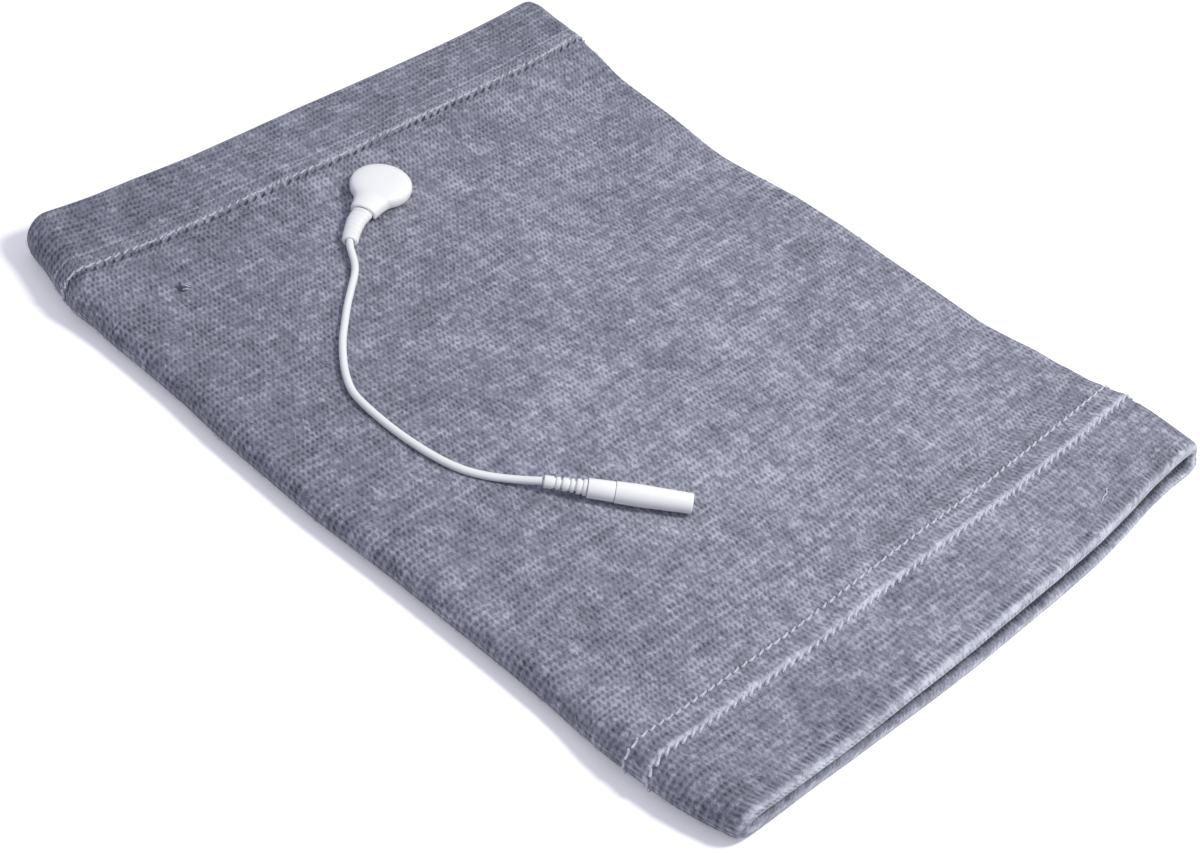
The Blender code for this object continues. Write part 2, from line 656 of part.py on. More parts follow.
def build_head_boot(parts, seat_matrix, pvc):
    """The ribbed, bent strain relief that comes out of the head's neck."""
    inside = [seat_matrix @ Vector((distance, 0, BOOT_AXIS_HEIGHT)) for distance in (BOOT_START, NECK_LENGTH)]
    fine = smooth_path([*inside, *from_head(BOOT_ROUTE)], BOOT_GROOVE_PITCH / 3)
    length = sum((b - a).length for a, b in zip(fine, fine[1:]))
    half_widths, half_heights = [], []
    groove_ends = BOOT_GROOVE_START + BOOT_GROOVE_PITCH * BOOT_GROOVES
    for i in range(len(fine)):
        share = i / (len(fine) - 1)
        distance = length * share
        grooved = BOOT_GROOVE_START < distance < groove_ends
        depth = 0.0
        if grooved:
            phase = (distance - BOOT_GROOVE_START) / BOOT_GROOVE_PITCH
            depth = BOOT_GROOVE_DEPTH * (1 - math.cos(math.tau * phase)) / 2
        narrowing = ease(share)
        half_widths.append(BOOT_HALF_WIDTH + (BOOT_END_HALF_WIDTH - BOOT_HALF_WIDTH) * narrowing - depth)
        half_heights.append(BOOT_HALF_HEIGHT + (BOOT_END_HALF_HEIGHT - BOOT_HALF_HEIGHT) * narrowing - depth)
    loft("head_boot", oval_sections(fine, half_widths, half_heights), pvc, parts)


def socket_boot_profile(length):
    """The ribbed boot from its front spigot back to the cable, with a blind bore for the wire."""
    bore = WIRE_RADIUS + SEAT_GAP
    front = length + SOCKET_SPIGOT_LENGTH
    points = [(0, length - SOCKET_SPIGOT_LENGTH), (bore, length - SOCKET_SPIGOT_LENGTH), (bore, front),
              (SOCKET_SPIGOT_RADIUS, front), (SOCKET_SPIGOT_RADIUS, length)]
    rounding = SOCKET_GROOVE_WIDTH / 3
    for index in reversed(range(len(SOCKET_RIBS))):
        rib_front, radius = SOCKET_RIBS[index]
        rear = SOCKET_RIBS[index - 1][0] if index else 0.0
        rear += SOCKET_GROOVE_WIDTH if index else 0.0
        points += [(radius - rounding, rib_front), (radius, rib_front - rounding)]
        points += [(radius, rear + rounding), (radius - rounding, rear)]
        if index:
            deep = index - 1 in SOCKET_DEEP_GROOVES
            floor = radius - (SOCKET_DEEP_GROOVE_DEPTH if deep else SOCKET_FAINT_GROOVE_DEPTH)
            points += [(floor, rear - SOCKET_GROOVE_WIDTH / 4), (floor, rear - 3 * SOCKET_GROOVE_WIDTH / 4)]
    points.append((0, 0))
    return points


def build_socket(parts, cutters, axis, pvc, shell_plastic, brass, copper):
    """The moulded pin socket on the cable's end: boot, collar, shell, contact and wire end."""
    boot_length = SOCKET_RIBS[-1][0]
    turned("socket_boot", socket_boot_profile(boot_length), 20, pvc, parts, axis)
    rear = boot_length + PARTING_GAP
    front = rear + COLLAR_LENGTH
    crimp_outer = WIRE_RADIUS + SEAT_GAP + CRIMP_WALL
    spigot_bore = crimp_outer + SEAT_GAP
    spigot_outer = spigot_bore + COLLAR_SPIGOT_WALL
    spigot_end = front + COLLAR_SPIGOT_LENGTH
    counterbore_end = boot_length + SOCKET_SPIGOT_LENGTH + SEAT_GAP
    counterbore = SOCKET_SPIGOT_RADIUS + SEAT_GAP
    turned("socket_collar", [
        (spigot_outer, spigot_end), (spigot_outer, front), (COLLAR_FRONT_RADIUS, front), (COLLAR_REAR_RADIUS, rear),
        (counterbore, rear), (counterbore, counterbore_end), (spigot_bore, counterbore_end),
        (spigot_bore, spigot_end),
    ], 32, shell_plastic, parts, axis)
    shell_rear = front + PARTING_GAP
    tip = shell_rear + SHELL_LENGTH
    shell_counterbore = spigot_outer + SEAT_GAP
    contact_outer = PIN_BORE_RADIUS + CONTACT_WALL
    shell_bore = contact_outer + SEAT_GAP
    step = spigot_end + SEAT_GAP
    lip = tip - SHELL_LIP
    lip_bore = PIN_BORE_RADIUS + SEAT_GAP / 2
    tip_ring = [(SHELL_TIP_RADIUS - SHELL_TIP_EDGE * (1 - math.sin(turn)), tip - SHELL_TIP_EDGE * (1 - math.cos(turn)))
                for turn in (math.pi / 2 * i / 4 for i in range(5))]
    turned("socket_shell", [
        *tip_ring, (SHELL_BELLY_RADIUS, shell_rear + SHELL_BELLY_FROM_REAR), (SHELL_REAR_RADIUS, shell_rear),
        (shell_counterbore, shell_rear), (shell_counterbore, step), (shell_bore, step), (shell_bore, lip),
        (lip_bore, lip), (lip_bore, tip),
    ], 32, shell_plastic, parts, axis)
    contact_tip = lip - SEAT_GAP
    shoulder = contact_tip - CONTACT_LENGTH
    contact_rear = shoulder - CONTACT_REAR_LENGTH
    contact = turned("socket_contact", [
        (0, contact_tip - CONTACT_BORE_DEPTH), (PIN_BORE_RADIUS, contact_tip - CONTACT_BORE_DEPTH),
        (PIN_BORE_RADIUS, contact_tip), (contact_outer, contact_tip), (contact_outer, shoulder),
        (crimp_outer, shoulder), (crimp_outer, contact_rear), (crimp_outer - CRIMP_WALL, contact_rear),
        (crimp_outer - CRIMP_WALL, contact_rear + CRIMP_LENGTH), (0, contact_rear + CRIMP_LENGTH),
    ], 24, brass, parts, axis)
    for index, turn in enumerate((math.pi / 4, 3 * math.pi / 4)):
        slot = box(f"contact_slot_{index}", (-HEAD_RADIUS, -CONTACT_SLOT_WIDTH / 2, contact_tip - CONTACT_SLOT_LENGTH),
                   (HEAD_RADIUS, CONTACT_SLOT_WIDTH / 2, contact_tip + SEAT_GAP), brass, cutters, axis,
                   Matrix.Rotation(turn, 4, "Z"))
        boolean(contact, as_cutter(slot), "DIFFERENCE")
    wire = [(0, 0, boot_length - SOCKET_SPIGOT_LENGTH + SEAT_GAP), (0, 0, contact_rear + CRIMP_LENGTH - SEAT_GAP)]
    tube("socket_wire_end", wire, WIRE_RADIUS, copper, parts, axis)


def build_cable(parts, pvc):
    """The thin cable, laid over the sleeve from the head's boot to the socket's boot."""
    tube("lead_cable", smooth_path(from_head(CABLE_ROUTE), CABLE_STEP), CABLE_DIAMETER / 2, pvc, parts)


def main():
    for existing in list(bpy.data.objects):
        bpy.data.objects.remove(existing)
    parts = make_collection("tens_sleeve_electrode")
    cutters = make_collection("cutters")
    knit = make_material("heather_knit", KNIT_COLOUR, 0.9)
    pvc = make_material("white_pvc", WHITE_PVC, 0.35)
    shell_plastic = make_material("white_shell_plastic", WHITE_SHELL, 0.3)
    nickel = make_material("nickel_plate", NICKEL, 0.3, 1.0)
    steel = make_material("spring_steel", NICKEL, 0.25, 1.0)
    brass = make_material("contact_brass", BRASS, 0.3, 1.0)
    copper = make_material("wire_copper", COPPER, 0.4, 1.0)

    seat_matrix = Matrix.Translation((HEAD_X, HEAD_Y, sleeve_top(HEAD_X, HEAD_Y)))
    seat_matrix = seat_matrix @ Matrix.Rotation(NECK_ANGLE, 4, "Z")
    head_seat = add_seat("head_seat", parts, seat_matrix)
    socket_rear = from_head([(SOCKET_X, SOCKET_Y, SOCKET_AXIS_HEIGHT)])[0]
    axis_matrix = Matrix.Translation(socket_rear)
    axis_matrix = axis_matrix @ Matrix.Rotation(SOCKET_ANGLE, 4, "Z") @ Matrix.Rotation(math.pi / 2, 4, "Y")
    socket_axis = add_seat("socket_axis", parts, axis_matrix)

    build_sleeve(parts, cutters, knit, seat_matrix)
    build_garment_snap(parts, head_seat, nickel)
    cup_outer = build_snap(parts, head_seat, nickel, steel)
    build_head(parts, cutters, head_seat, pvc, cup_outer)
    build_head_wiring(parts, cutters, head_seat, nickel, copper, cup_outer)
    build_head_boot(parts, seat_matrix, pvc)
    build_cable(parts, pvc)
    build_socket(parts, cutters, socket_axis, pvc, shell_plastic, brass, copper)
    bpy.context.view_layer.update()


main()
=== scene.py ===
"""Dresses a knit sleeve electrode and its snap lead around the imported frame.

The sleeve lies flat along X on the table. Its knit is drawn on a grid of stitches that follows the cloth
round its side folds and hems. The seams, the stray fibres and the snags are real threads. The white lead lies
on top.
"""

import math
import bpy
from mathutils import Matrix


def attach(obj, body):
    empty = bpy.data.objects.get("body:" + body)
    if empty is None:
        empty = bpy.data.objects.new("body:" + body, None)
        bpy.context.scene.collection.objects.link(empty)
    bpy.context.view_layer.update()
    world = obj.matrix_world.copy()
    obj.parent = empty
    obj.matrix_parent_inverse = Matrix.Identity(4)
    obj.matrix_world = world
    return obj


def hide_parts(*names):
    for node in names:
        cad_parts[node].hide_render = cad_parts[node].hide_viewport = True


bl_info = {
    "name": "Knit sleeve electrode",
    "version": (1, 0, 0),
    "blender": (4, 5, 0),
    "location": "View3D > Sidebar > Sleeve",
    "description": "Dresses a knit sleeve electrode and its snap lead",
    "category": "Object",
}

import bmesh
import bpy
import numpy as np
from bpy.props import FloatProperty, FloatVectorProperty, IntProperty, PointerProperty
from mathutils import Matrix, Vector

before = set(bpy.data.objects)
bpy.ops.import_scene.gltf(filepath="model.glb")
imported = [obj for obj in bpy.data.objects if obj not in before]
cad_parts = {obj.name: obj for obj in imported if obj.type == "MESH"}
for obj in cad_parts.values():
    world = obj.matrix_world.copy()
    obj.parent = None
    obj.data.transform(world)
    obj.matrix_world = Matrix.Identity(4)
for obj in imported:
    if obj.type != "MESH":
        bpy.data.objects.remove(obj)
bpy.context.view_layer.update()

# The sleeve's plan: the solids' outline, with more points between its corners. Each table gives how far
# an edge stands out at a share of its half length
NEAR_BOW = 0.0030
NEAR_BOW_SHARES = [
    (-1.0, 0.0), (-0.87, 0.15), (-0.7, 0.28), (-0.55, 0.5), (-0.4, 0.67), (-0.25, 0.85), (-0.1, 0.97),
    (0.25, 1.0), (0.45, 0.9), (0.6, 0.6), (0.75, 0.15), (0.87, 0.0), (1.0, 0.1),
]
TOP_BOW_SHARE = 0.75
BOW_REACH = 0.0190
FAR_INSET = [
    (-1.0, 0.0010), (-0.9, 0.0005), (-0.75, 0.0006), (-0.6, 0.0003), (-0.4, 0.0007), (0.0, 0.0003),
    (0.6, 0.0005), (1.0, 0.0006),
]
LEFT_EDGE = [
    (-1.0, -0.0034), (-0.966, -0.0015), (-0.9, -0.0003), (-0.86, 0.0009), (-0.83, 0.0018), (-0.763, 0.0032),
    (-0.696, 0.0025), (-0.56, 0.0023), (-0.425, 0.0024), (-0.29, 0.0033), (-0.02, 0.0036), (0.184, 0.0026),
    (0.454, 0.0020), (0.589, 0.0020), (0.725, 0.0030), (0.812, 0.0027), (0.88, 0.0019), (0.93, 0.0009),
    (1.0, -0.0014),
]
RIGHT_EDGE = [
    (-1.0, 0.0029), (-0.966, 0.0037), (-0.9, 0.0028), (-0.83, 0.0023), (-0.763, 0.0003), (-0.696, -0.0004),
    (-0.63, -0.0008), (-0.49, -0.0018), (-0.425, -0.0026), (-0.357, -0.0037), (-0.29, -0.0042),
    (-0.222, -0.0035), (-0.087, -0.0017), (0.048, -0.0014), (0.184, -0.0022), (0.319, -0.0026),
    (0.454, -0.0033), (0.522, -0.0022), (0.589, -0.0009), (0.66, -0.0006), (0.725, -0.0017),
    (0.763, -0.0009), (0.8, 0.0001), (0.86, 0.0006),
    (0.93, 0.0002), (1.0, -0.0004),
]
MIDDLE_X = -NEAR_BOW / 2

# The sleeve's heights, as in the solids, where the hollow of the near hem is even
HEM_PLY_GAP = 0.0004
HEM_DEPTH = 0.0270
HEM_STEP_LENGTH = 0.0075
SIDE_STEP_LENGTH = 0.0140
BODY_HOLLOW = 0.0030
BODY_SIDE_HOLLOW = 0.0036
FAR_HEM_HOLLOW = 0.0006
NEAR_HEM_HOLLOW = [
    (-1.0, 0.0003), (-0.6, 0.0004), (-0.2, 0.0009), (0.2, 0.0014), (0.7, 0.0018), (1.0, 0.0014),
]
HEM_SIDE_HOLLOW = 0.0028
HEM_STEP_START = HEM_DEPTH - 0.0022
WAVE_HEIGHT = 0.0003
WAVE_LENGTH = 0.0700
WAVE_WIDTH = 0.0900

# How many points a section of the sleeve has below, round one side and above
BELOW_STEPS = 56
SIDE_STEPS = 14
ABOVE_STEPS = 84
ABOVE_START = BELOW_STEPS + SIDE_STEPS
ABOVE_END = ABOVE_START + ABOVE_STEPS

# The seams: X of each line on the top layer, how far the cloth rises or sinks there, and over what half width
NEAR_ROW_X = 0.0776
NEAR_RIDGE_X = 0.0822
FAR_RIDGE_X = -0.0849
FAR_HOLES_X = -0.0837
WIDEST_HOLES_Y = 0.030
FAR_ROW_X = -0.0888
SEAM_RELIEF = [
    (NEAR_RIDGE_X - 0.0004, 0.00045, 0.0012), (NEAR_RIDGE_X + 0.0018, -0.00022, 0.0006),
    (NEAR_ROW_X, -0.00022, 0.0008), (FAR_RIDGE_X, 0.00042, 0.0009), (FAR_HOLES_X, -0.00034, 0.0006),
    (FAR_ROW_X, -0.00018, 0.0007),
]
# How far the sewing wanders along the sleeve, by Y
NEAR_WANDER = [
    (-0.078, 0.0003), (-0.050, 0.0003), (-0.030, 0.0007), (0.0, 0.0003), (0.030, 0.0008), (0.057, 0.0001),
    (0.075, -0.0004),
]
FAR_WANDER = [
    (-0.078, 0.0011), (-0.050, 0.0011), (-0.030, 0.0005), (0.0, 0.0008), (0.030, 0.0001), (0.057, 0.0002),
    (0.075, 0.0),
]
WANDER_REACH = 0.0080
# How far the upper fold of the near mouth stands back of the lower one, and over what length
TOP_SETBACK = [(-1.0, 0.0001), (-0.65, 0.0002), (-0.35, 0.0008), (0.0, 0.0010), (1.0, 0.0010)]
SETBACK_REACH = 0.0120
# What is left of the near mouth where its left end is closed
CLOSED_GAP = 0.0002

# Height of the sewing and the fibres under the sleeve, pressed flat on the table
PRESSED_LOW = -0.00005

# Each row of sewing: its name, X, lift, stitch length, share of the thread's thickness, arch, lean,
# unevenness and seed
SEAM_ROWS = [
    ("near_inner_row", NEAR_ROW_X, 0.00018, 0.0019, 1.25, 0.00026, -0.20, 0.14, 11),
    ("near_ridge_loops", NEAR_RIDGE_X + 0.0007, -0.00012, 0.0020, 1.55, 0.00020, -0.50, 0.16, 12),
    ("far_ridge_loops", FAR_RIDGE_X + 0.0002, -0.00010, 0.0019, 1.0, 0.00012, -0.25, 0.4, 13),
    ("far_outer_row", FAR_ROW_X, -0.00012, 0.0012, 0.65, 0.00008, -0.15, 0.3, 14),
]

# Two places where a thread is pulled: X, Y, Z and how much darker the knit is, then the line of each thread
SNAGS = [(-0.0690, -0.0607, 0.0060, 0.55), (0.0958, 0.0455, 0.0080, 0.12)]
PULLED = [
    [(-0.0703, -0.0601), (-0.0694, -0.0597), (-0.0686, -0.0588)],
    [(-0.0700, -0.0592), (-0.0694, -0.0589), (-0.0690, -0.0584)],
    [(-0.0690, -0.0609), (-0.0684, -0.0601), (-0.0682, -0.0594)],
    [(0.0957, 0.0482), (0.0959, 0.0472), (0.0966, 0.0463), (0.0967, 0.0450), (0.0973, 0.0437)],
]

# The lead: places as in the solids, from the middle of its snap head
HEAD_AT = Vector((-0.0693, -0.0040, 0.0055))
NECK_ANGLE = math.radians(-65)
HEAD_RADIUS = 0.0071
HEAD_CROWN = 0.0049
HEAD_WIDEST = 0.0025
HEAD_UNDERSIDE = 0.0008
HEAD_UNDERCUT = 0.0009
HEAD_ROUNDNESS = 2.6
HEAD_WALL = 0.0007
NECK_LENGTH = 0.0109
NECK_TOP = 0.0042
NECK_FLARE = [(0.0018, 0.0060), (0.0034, 0.0054), (0.0051, 0.0044), (0.0069, 0.0037), (0.0088, 0.0033)]
NECK_MOUTH_HALF = 0.00305
TUNNEL_HALF = 0.00255
TUNNEL_TOP = 0.0037
BOOT_START = 0.0066
BOOT_AXIS = 0.0019
BOOT_HALF_WIDTHS = (0.00248, 0.00185)
BOOT_HALF_HEIGHTS = (0.0016, 0.00145)
BOOT_RING_DEPTH = 0.00024
BOOT_RING_START = 0.0038
BOOT_RING_PITCH = 0.0015
BOOT_RINGS_END = 0.0120
BOOT_TIP_LENGTH = 0.0005
BOOT_TIP_SHRINK = 0.12
BOOT_RIM_HALF_WIDTH = 0.00105
BOOT_RIM_HALF_HEIGHT = 0.00100
BOOT_RIM_DEPTH = 0.0007
BOOT_ROUTE = [
    (0.00570, -0.01240, 0.00745), (0.00715, -0.01460, 0.00745), (0.00870, -0.01670, 0.00745),
    (0.01050, -0.01885, 0.00750),
]
CABLE_DIAMETER = 0.00165
# How far the cable sinks into the knit, past its solid
CABLE_SINK = 0.00032
CABLE_ROUTE = [
    (0.01070, -0.01905, 0.00765), (0.01210, -0.02015, 0.00755), (0.01390, -0.02115, 0.00735),
    (0.01580, -0.02225, 0.00710), (0.01750, -0.02355, 0.00697), (0.01910, -0.02525, 0.00693),
    (0.02080, -0.02735, 0.00690), (0.02250, -0.02945, 0.00688), (0.02550, -0.03305, 0.00686),
    (0.02890, -0.03675, 0.00688), (0.03290, -0.04095, 0.00692), (0.03720, -0.04475, 0.00700),
    (0.04180, -0.04815, 0.00710), (0.04650, -0.05055, 0.00718), (0.05160, -0.05145, 0.00722),
    (0.05910, -0.05175, 0.00724), (0.06570, -0.05135, 0.00722), (0.07170, -0.05045, 0.00720),
    (0.07700, -0.04875, 0.00716), (0.08120, -0.04625, 0.00716), (0.08400, -0.04415, 0.00725),
    (0.08670, -0.04215, 0.00758), (0.08870, -0.04075, 0.00800), (0.08996, -0.03976, 0.00830),
]
# How far the socket sinks into the knit, past its solids
SOCKET_SINK = 0.00014
SOCKET_AT = Vector((0.02090, -0.04355, 0.00836 - SOCKET_SINK))
SOCKET_ANGLE = math.radians(39.4)
SOCKET_RIBS = [(0.0019, 0.00130), (0.0032, 0.00132), (0.0048, 0.00138), (0.0060, 0.00142), (0.0073, 0.00158),
               (0.0086, 0.00165)]
SOCKET_GROOVES = [0.00030, 0.00055, 0.00030, 0.00055, 0.00030]
GROOVE_WIDTH = 0.00048
COLLAR_START = 0.0088
COLLAR_END = 0.0141
COLLAR_RADII = (0.0020, 0.00212)
COLLAR_SPIGOT_RADIUS = 0.00143
COLLAR_SPIGOT_LENGTH = 0.0021
COLLAR_BORE = 0.0010
COLLAR_COUNTERBORE = 0.0014
COLLAR_COUNTERBORE_DEPTH = 0.0013
SHELL_START = 0.0143
SHELL_END = 0.0297
SHELL_PROFILE = [(0.00224, 0.0073), (0.00227, 0.0071), (0.00230, 0.0042)]
SHELL_RADII = (0.00222, 0.00208)
SHELL_SEAT_RADIUS = 0.00173
SHELL_HOLLOW_RADIUS = 0.00155
SHELL_PIN_RADIUS = 0.00117
SHELL_STEP = 0.0022
SEAT_OVERLAP = 0.00014

# The stage
GROUND_HALF = 3.0
GROUND_Z = -0.0001
KEY_DIRECTION = Vector((0.50, 0.27, 0.82)).normalized()
KEY_DISTANCE = 0.60
KEY_SIZE = 0.13
KEY_COLOUR = (1.0, 1.0, 0.93)
FILL_COLOUR = (0.91, 0.91, 1.07, 1.0)
GROUND_COLOUR = (0.9, 0.9, 0.9, 1.0)
GROUND_GLOW_COLOUR = (0.97, 0.97, 1.05, 1.0)
GROUND_GLOW = 0.20

# The camera, fitted to the outline of the photographed sleeve
CAMERA_AT = Vector((0.21955, -0.30339, 0.31771))
CAMERA_AZIMUTH = math.radians(35.864)
CAMERA_ELEVATION = math.radians(41.811)
CAMERA_ROLL = math.radians(11.024)
CAMERA_LENS = 68.52

# The stray fibres, how far from the folds they start, and the snagged threads
FIBRES = {"Density": 230000.0, "Length": 0.0011, "Thickness": 0.00006, "Seed": 21}
FIBRE_MARGIN = 0.0016
PULLED_THREAD_RADIUS = 0.00013
PULLED_THREAD_RISE = 0.00016

KNIT_GRID = "knit_grid"
ROOT = "root"


def from_table(table, share):
    """The values that a table gives at these shares."""
    shares, values = zip(*table)
    return np.interp(share, shares, values)


def ease(share):
    """Goes from 0 to 1 with level ends."""
    share = np.clip(share, 0.0, 1.0)
    return share * share * (3 - 2 * share)


def ripples(x, y, wavelength, seed, count=10):
    """An uneven surface between about -1 and 1, the same each run."""
    random = np.random.default_rng(seed)
    total = 0.0
    for _ in range(count):
        heading, start = random.uniform(0, math.tau, 2)
        pace = math.tau / (wavelength * random.uniform(0.7, 1.6))
        total = total + np.sin((x * math.cos(heading) + y * math.sin(heading)) * pace + start)
    return total / math.sqrt(count)


def smooth_path(points, step):
    """Evenly spaced points on a smooth curve through the route's own points."""
    points = [Vector(point) for point in points]
    guide = [2 * points[0] - points[1], *points, 2 * points[-1] - points[-2]]
    dense = []
    for before, start, end, after in zip(guide, guide[1:], guide[2:], guide[3:]):
        for share in (i / 16 for i in range(16)):
            a = 2 * start
            b = end - before
            c = 2 * before - 5 * start + 4 * end - after
            d = 3 * start - before - 3 * end + after
            dense.append((a + b * share + c * share**2 + d * share**3) / 2)
    dense.append(points[-1])
    dense = np.array(dense)
    lengths = np.concatenate([[0.0], np.cumsum(np.linalg.norm(np.diff(dense, axis=0), axis=1))])
    count = max(2, round(lengths[-1] / step))
    wanted = np.linspace(0, lengths[-1], count + 1)
    columns = [np.interp(wanted, lengths, dense[:, k]) for k in range(3)]
    return [Vector(point) for point in zip(*columns)]


def from_head(points):
    """Moves points that are given from the head's middle to the sleeve's frame."""
    return [Vector((HEAD_AT.x + x, HEAD_AT.y + y, z)) for x, y, z in points]


def new_object(name, mesh, material=None):
    """Links a new object for this mesh."""
    made = bpy.data.objects.new(name, mesh)
    bpy.context.scene.collection.objects.link(made)
    if material is not None:
        mesh.materials.clear()
        mesh.materials.append(material)
    return made


def mesh_from(name, points, faces):
    """A smooth-shaded mesh of these points and faces."""
    mesh = bpy.data.meshes.new(name)
    mesh.from_pydata([tuple(point) for point in points], [], faces)
    mesh.shade_smooth()
    return mesh


def settled(made):
    """Turns an object with modifiers into a plain mesh object."""
    depsgraph = bpy.context.evaluated_depsgraph_get()
    mesh = bpy.data.meshes.new_from_object(made.evaluated_get(depsgraph), depsgraph=depsgraph)
    mesh.name = made.name
    made.modifiers.clear()
    if made.type == "MESH":
        old = made.data
        made.data = mesh
        bpy.data.meshes.remove(old)
    return made


def loft(name, sections, caps=True):
    """A closed mesh through sections of equal point counts."""
    count = len(sections[0])
    points = [point for section in sections for point in section]
    faces = []
    for row in range(len(sections) - 1):
        for i in range(count):
            j = (i + 1) % count
            low, high = row * count, (row + 1) * count
            faces.append((low + i, low + j, high + j, high + i))
    if caps:
        faces.append(tuple(reversed(range(count))))
        faces.append(tuple(range(len(points) - count, len(points))))
    mesh = mesh_from(name, points, faces)
    fix_normals(mesh)
    return mesh


def fix_normals(mesh):
    """Merges doubles and points every face outwards."""
    bm = bmesh.new()
    bm.from_mesh(mesh)
    bmesh.ops.remove_doubles(bm, verts=bm.verts, dist=1e-6)
    bmesh.ops.recalc_face_normals(bm, faces=bm.faces)
    bm.to_mesh(mesh)
    bm.free()


def turned(name, profile, steps, matrix):
    """A closed mesh turned about Z from a profile of (radius, height), then placed."""
    points, rings = [], []
    for radius, height in profile:
        if radius < 1e-6:
            rings.append([len(points)])
            points.append((0.0, 0.0, height))
            continue
        rings.append(list(range(len(points), len(points) + steps)))
        for i in range(steps):
            turn = math.tau * i / steps
            points.append((radius * math.cos(turn), radius * math.sin(turn), height))
    faces = []
    closed = len(rings[0]) > 1
    for ring, following in zip(rings, rings[1:] + ([rings[0]] if closed else [])):
        for i in range(steps):
            j = (i + 1) % steps
            corners = [ring[i % len(ring)], ring[j % len(ring)], following[j % len(following)],
                       following[i % len(following)]]
            corners = list(dict.fromkeys(corners))
            if len(corners) > 2:
                faces.append(tuple(corners))
    mesh = mesh_from(name, [matrix @ Vector(point) for point in points], faces)
    fix_normals(mesh)
    mesh.set_sharp_from_angle(angle=math.radians(50))
    return mesh


def rounded(corners, radius, steps=3):
    """A profile with its inner corners rounded, from (radius, height) points."""
    result = [corners[0]]
    for before, corner, after in zip(corners, corners[1:], corners[2:]):
        before, corner, after = Vector(before), Vector(corner), Vector(after)
        room = min(radius, (corner - before).length * 0.45, (after - corner).length * 0.45)
        start = corner + (before - corner).normalized() * room
        end = corner + (after - corner).normalized() * room
        for i in range(steps + 1):
            share = i / steps
            result.append(tuple(start * (1 - share)**2 + corner * 2 * share * (1 - share) + end * share**2))
    result.append(corners[-1])
    return result


class Shade:
    """A socket of a material's node tree. Arithmetic on it adds Math nodes, and node() adds any other."""

    def __init__(self, tree, socket=None):
        self.tree = tree
        self.socket = socket

    def node(self, kind, settings=None, inputs=None, output=0):
        made = self.tree.nodes.new(kind)
        for name, value in (settings or {}).items():
            if name == "stops":
                ramp = made.color_ramp
                while len(ramp.elements) < len(value):
                    ramp.elements.new(0.5)
                for element, (position, colour) in zip(ramp.elements, value):
                    element.position = position
                    element.color = (*colour, 1.0)
            else:
                setattr(made, name, value)
        for key, value in (inputs or {}).items():
            if isinstance(value, Shade):
                self.tree.links.new(value.socket, made.inputs[key])
            else:
                made.inputs[key].default_value = value
        return Shade(self.tree, made.outputs[output] if made.outputs else None)

    def beside(self, output):
        """Another output of the same node."""
        return Shade(self.tree, self.socket.node.outputs[output])

    def math(self, operation, *values):
        return self.node("ShaderNodeMath", {"operation": operation}, dict(enumerate(values)))

    def step(self, low, high, start=0.0, end=1.0):
        """Goes smoothly from start to end while this goes from low to high."""
        return self.node("ShaderNodeMapRange", {"interpolation_type": "SMOOTHSTEP"},
                         {"Value": self, "From Min": low, "From Max": high, "To Min": start, "To Max": end})

    def near(self, centre, reach):
        """1 where this is close to centre, falling to 0 at reach."""
        return self.math("ABSOLUTE", self - centre).step(0.0, reach, 1.0, 0.0)

    def noise(self, scale, detail=2.0, roughness=0.5):
        """Noise over this vector, about -0.5 to 0.5."""
        return self.node("ShaderNodeTexNoise", None,
                         {"Vector": self, "Scale": scale, "Detail": detail, "Roughness": roughness}) - 0.5

    def __add__(self, other):
        return self.math("ADD", self, other)

    __radd__ = __add__

    def __sub__(self, other):
        return self.math("SUBTRACT", self, other)

    def __rsub__(self, other):
        return self.math("SUBTRACT", other, self)

    def __mul__(self, other):
        return self.math("MULTIPLY", self, other)

    __rmul__ = __mul__


def new_material(name):
    """A material with its tree cleared down to a Principled shader. Returns both and a first Shade."""
    material = bpy.data.materials.new(name)
    material.use_nodes = True
    tree = material.node_tree
    return material, tree.nodes["Principled BSDF"], Shade(tree)


def feed(shader, name, value):
    """Links a Shade to a shader's socket."""
    value.tree.links.new(value.socket, shader.inputs[name])


def yarn_rib(course, shiver):
    """The courses as ribs, from 0 on a rib to 1 between two ribs."""
    turn = (course + shiver * 0.8) * math.tau
    return 0.5 - turn.math("COSINE", turn) * 0.5


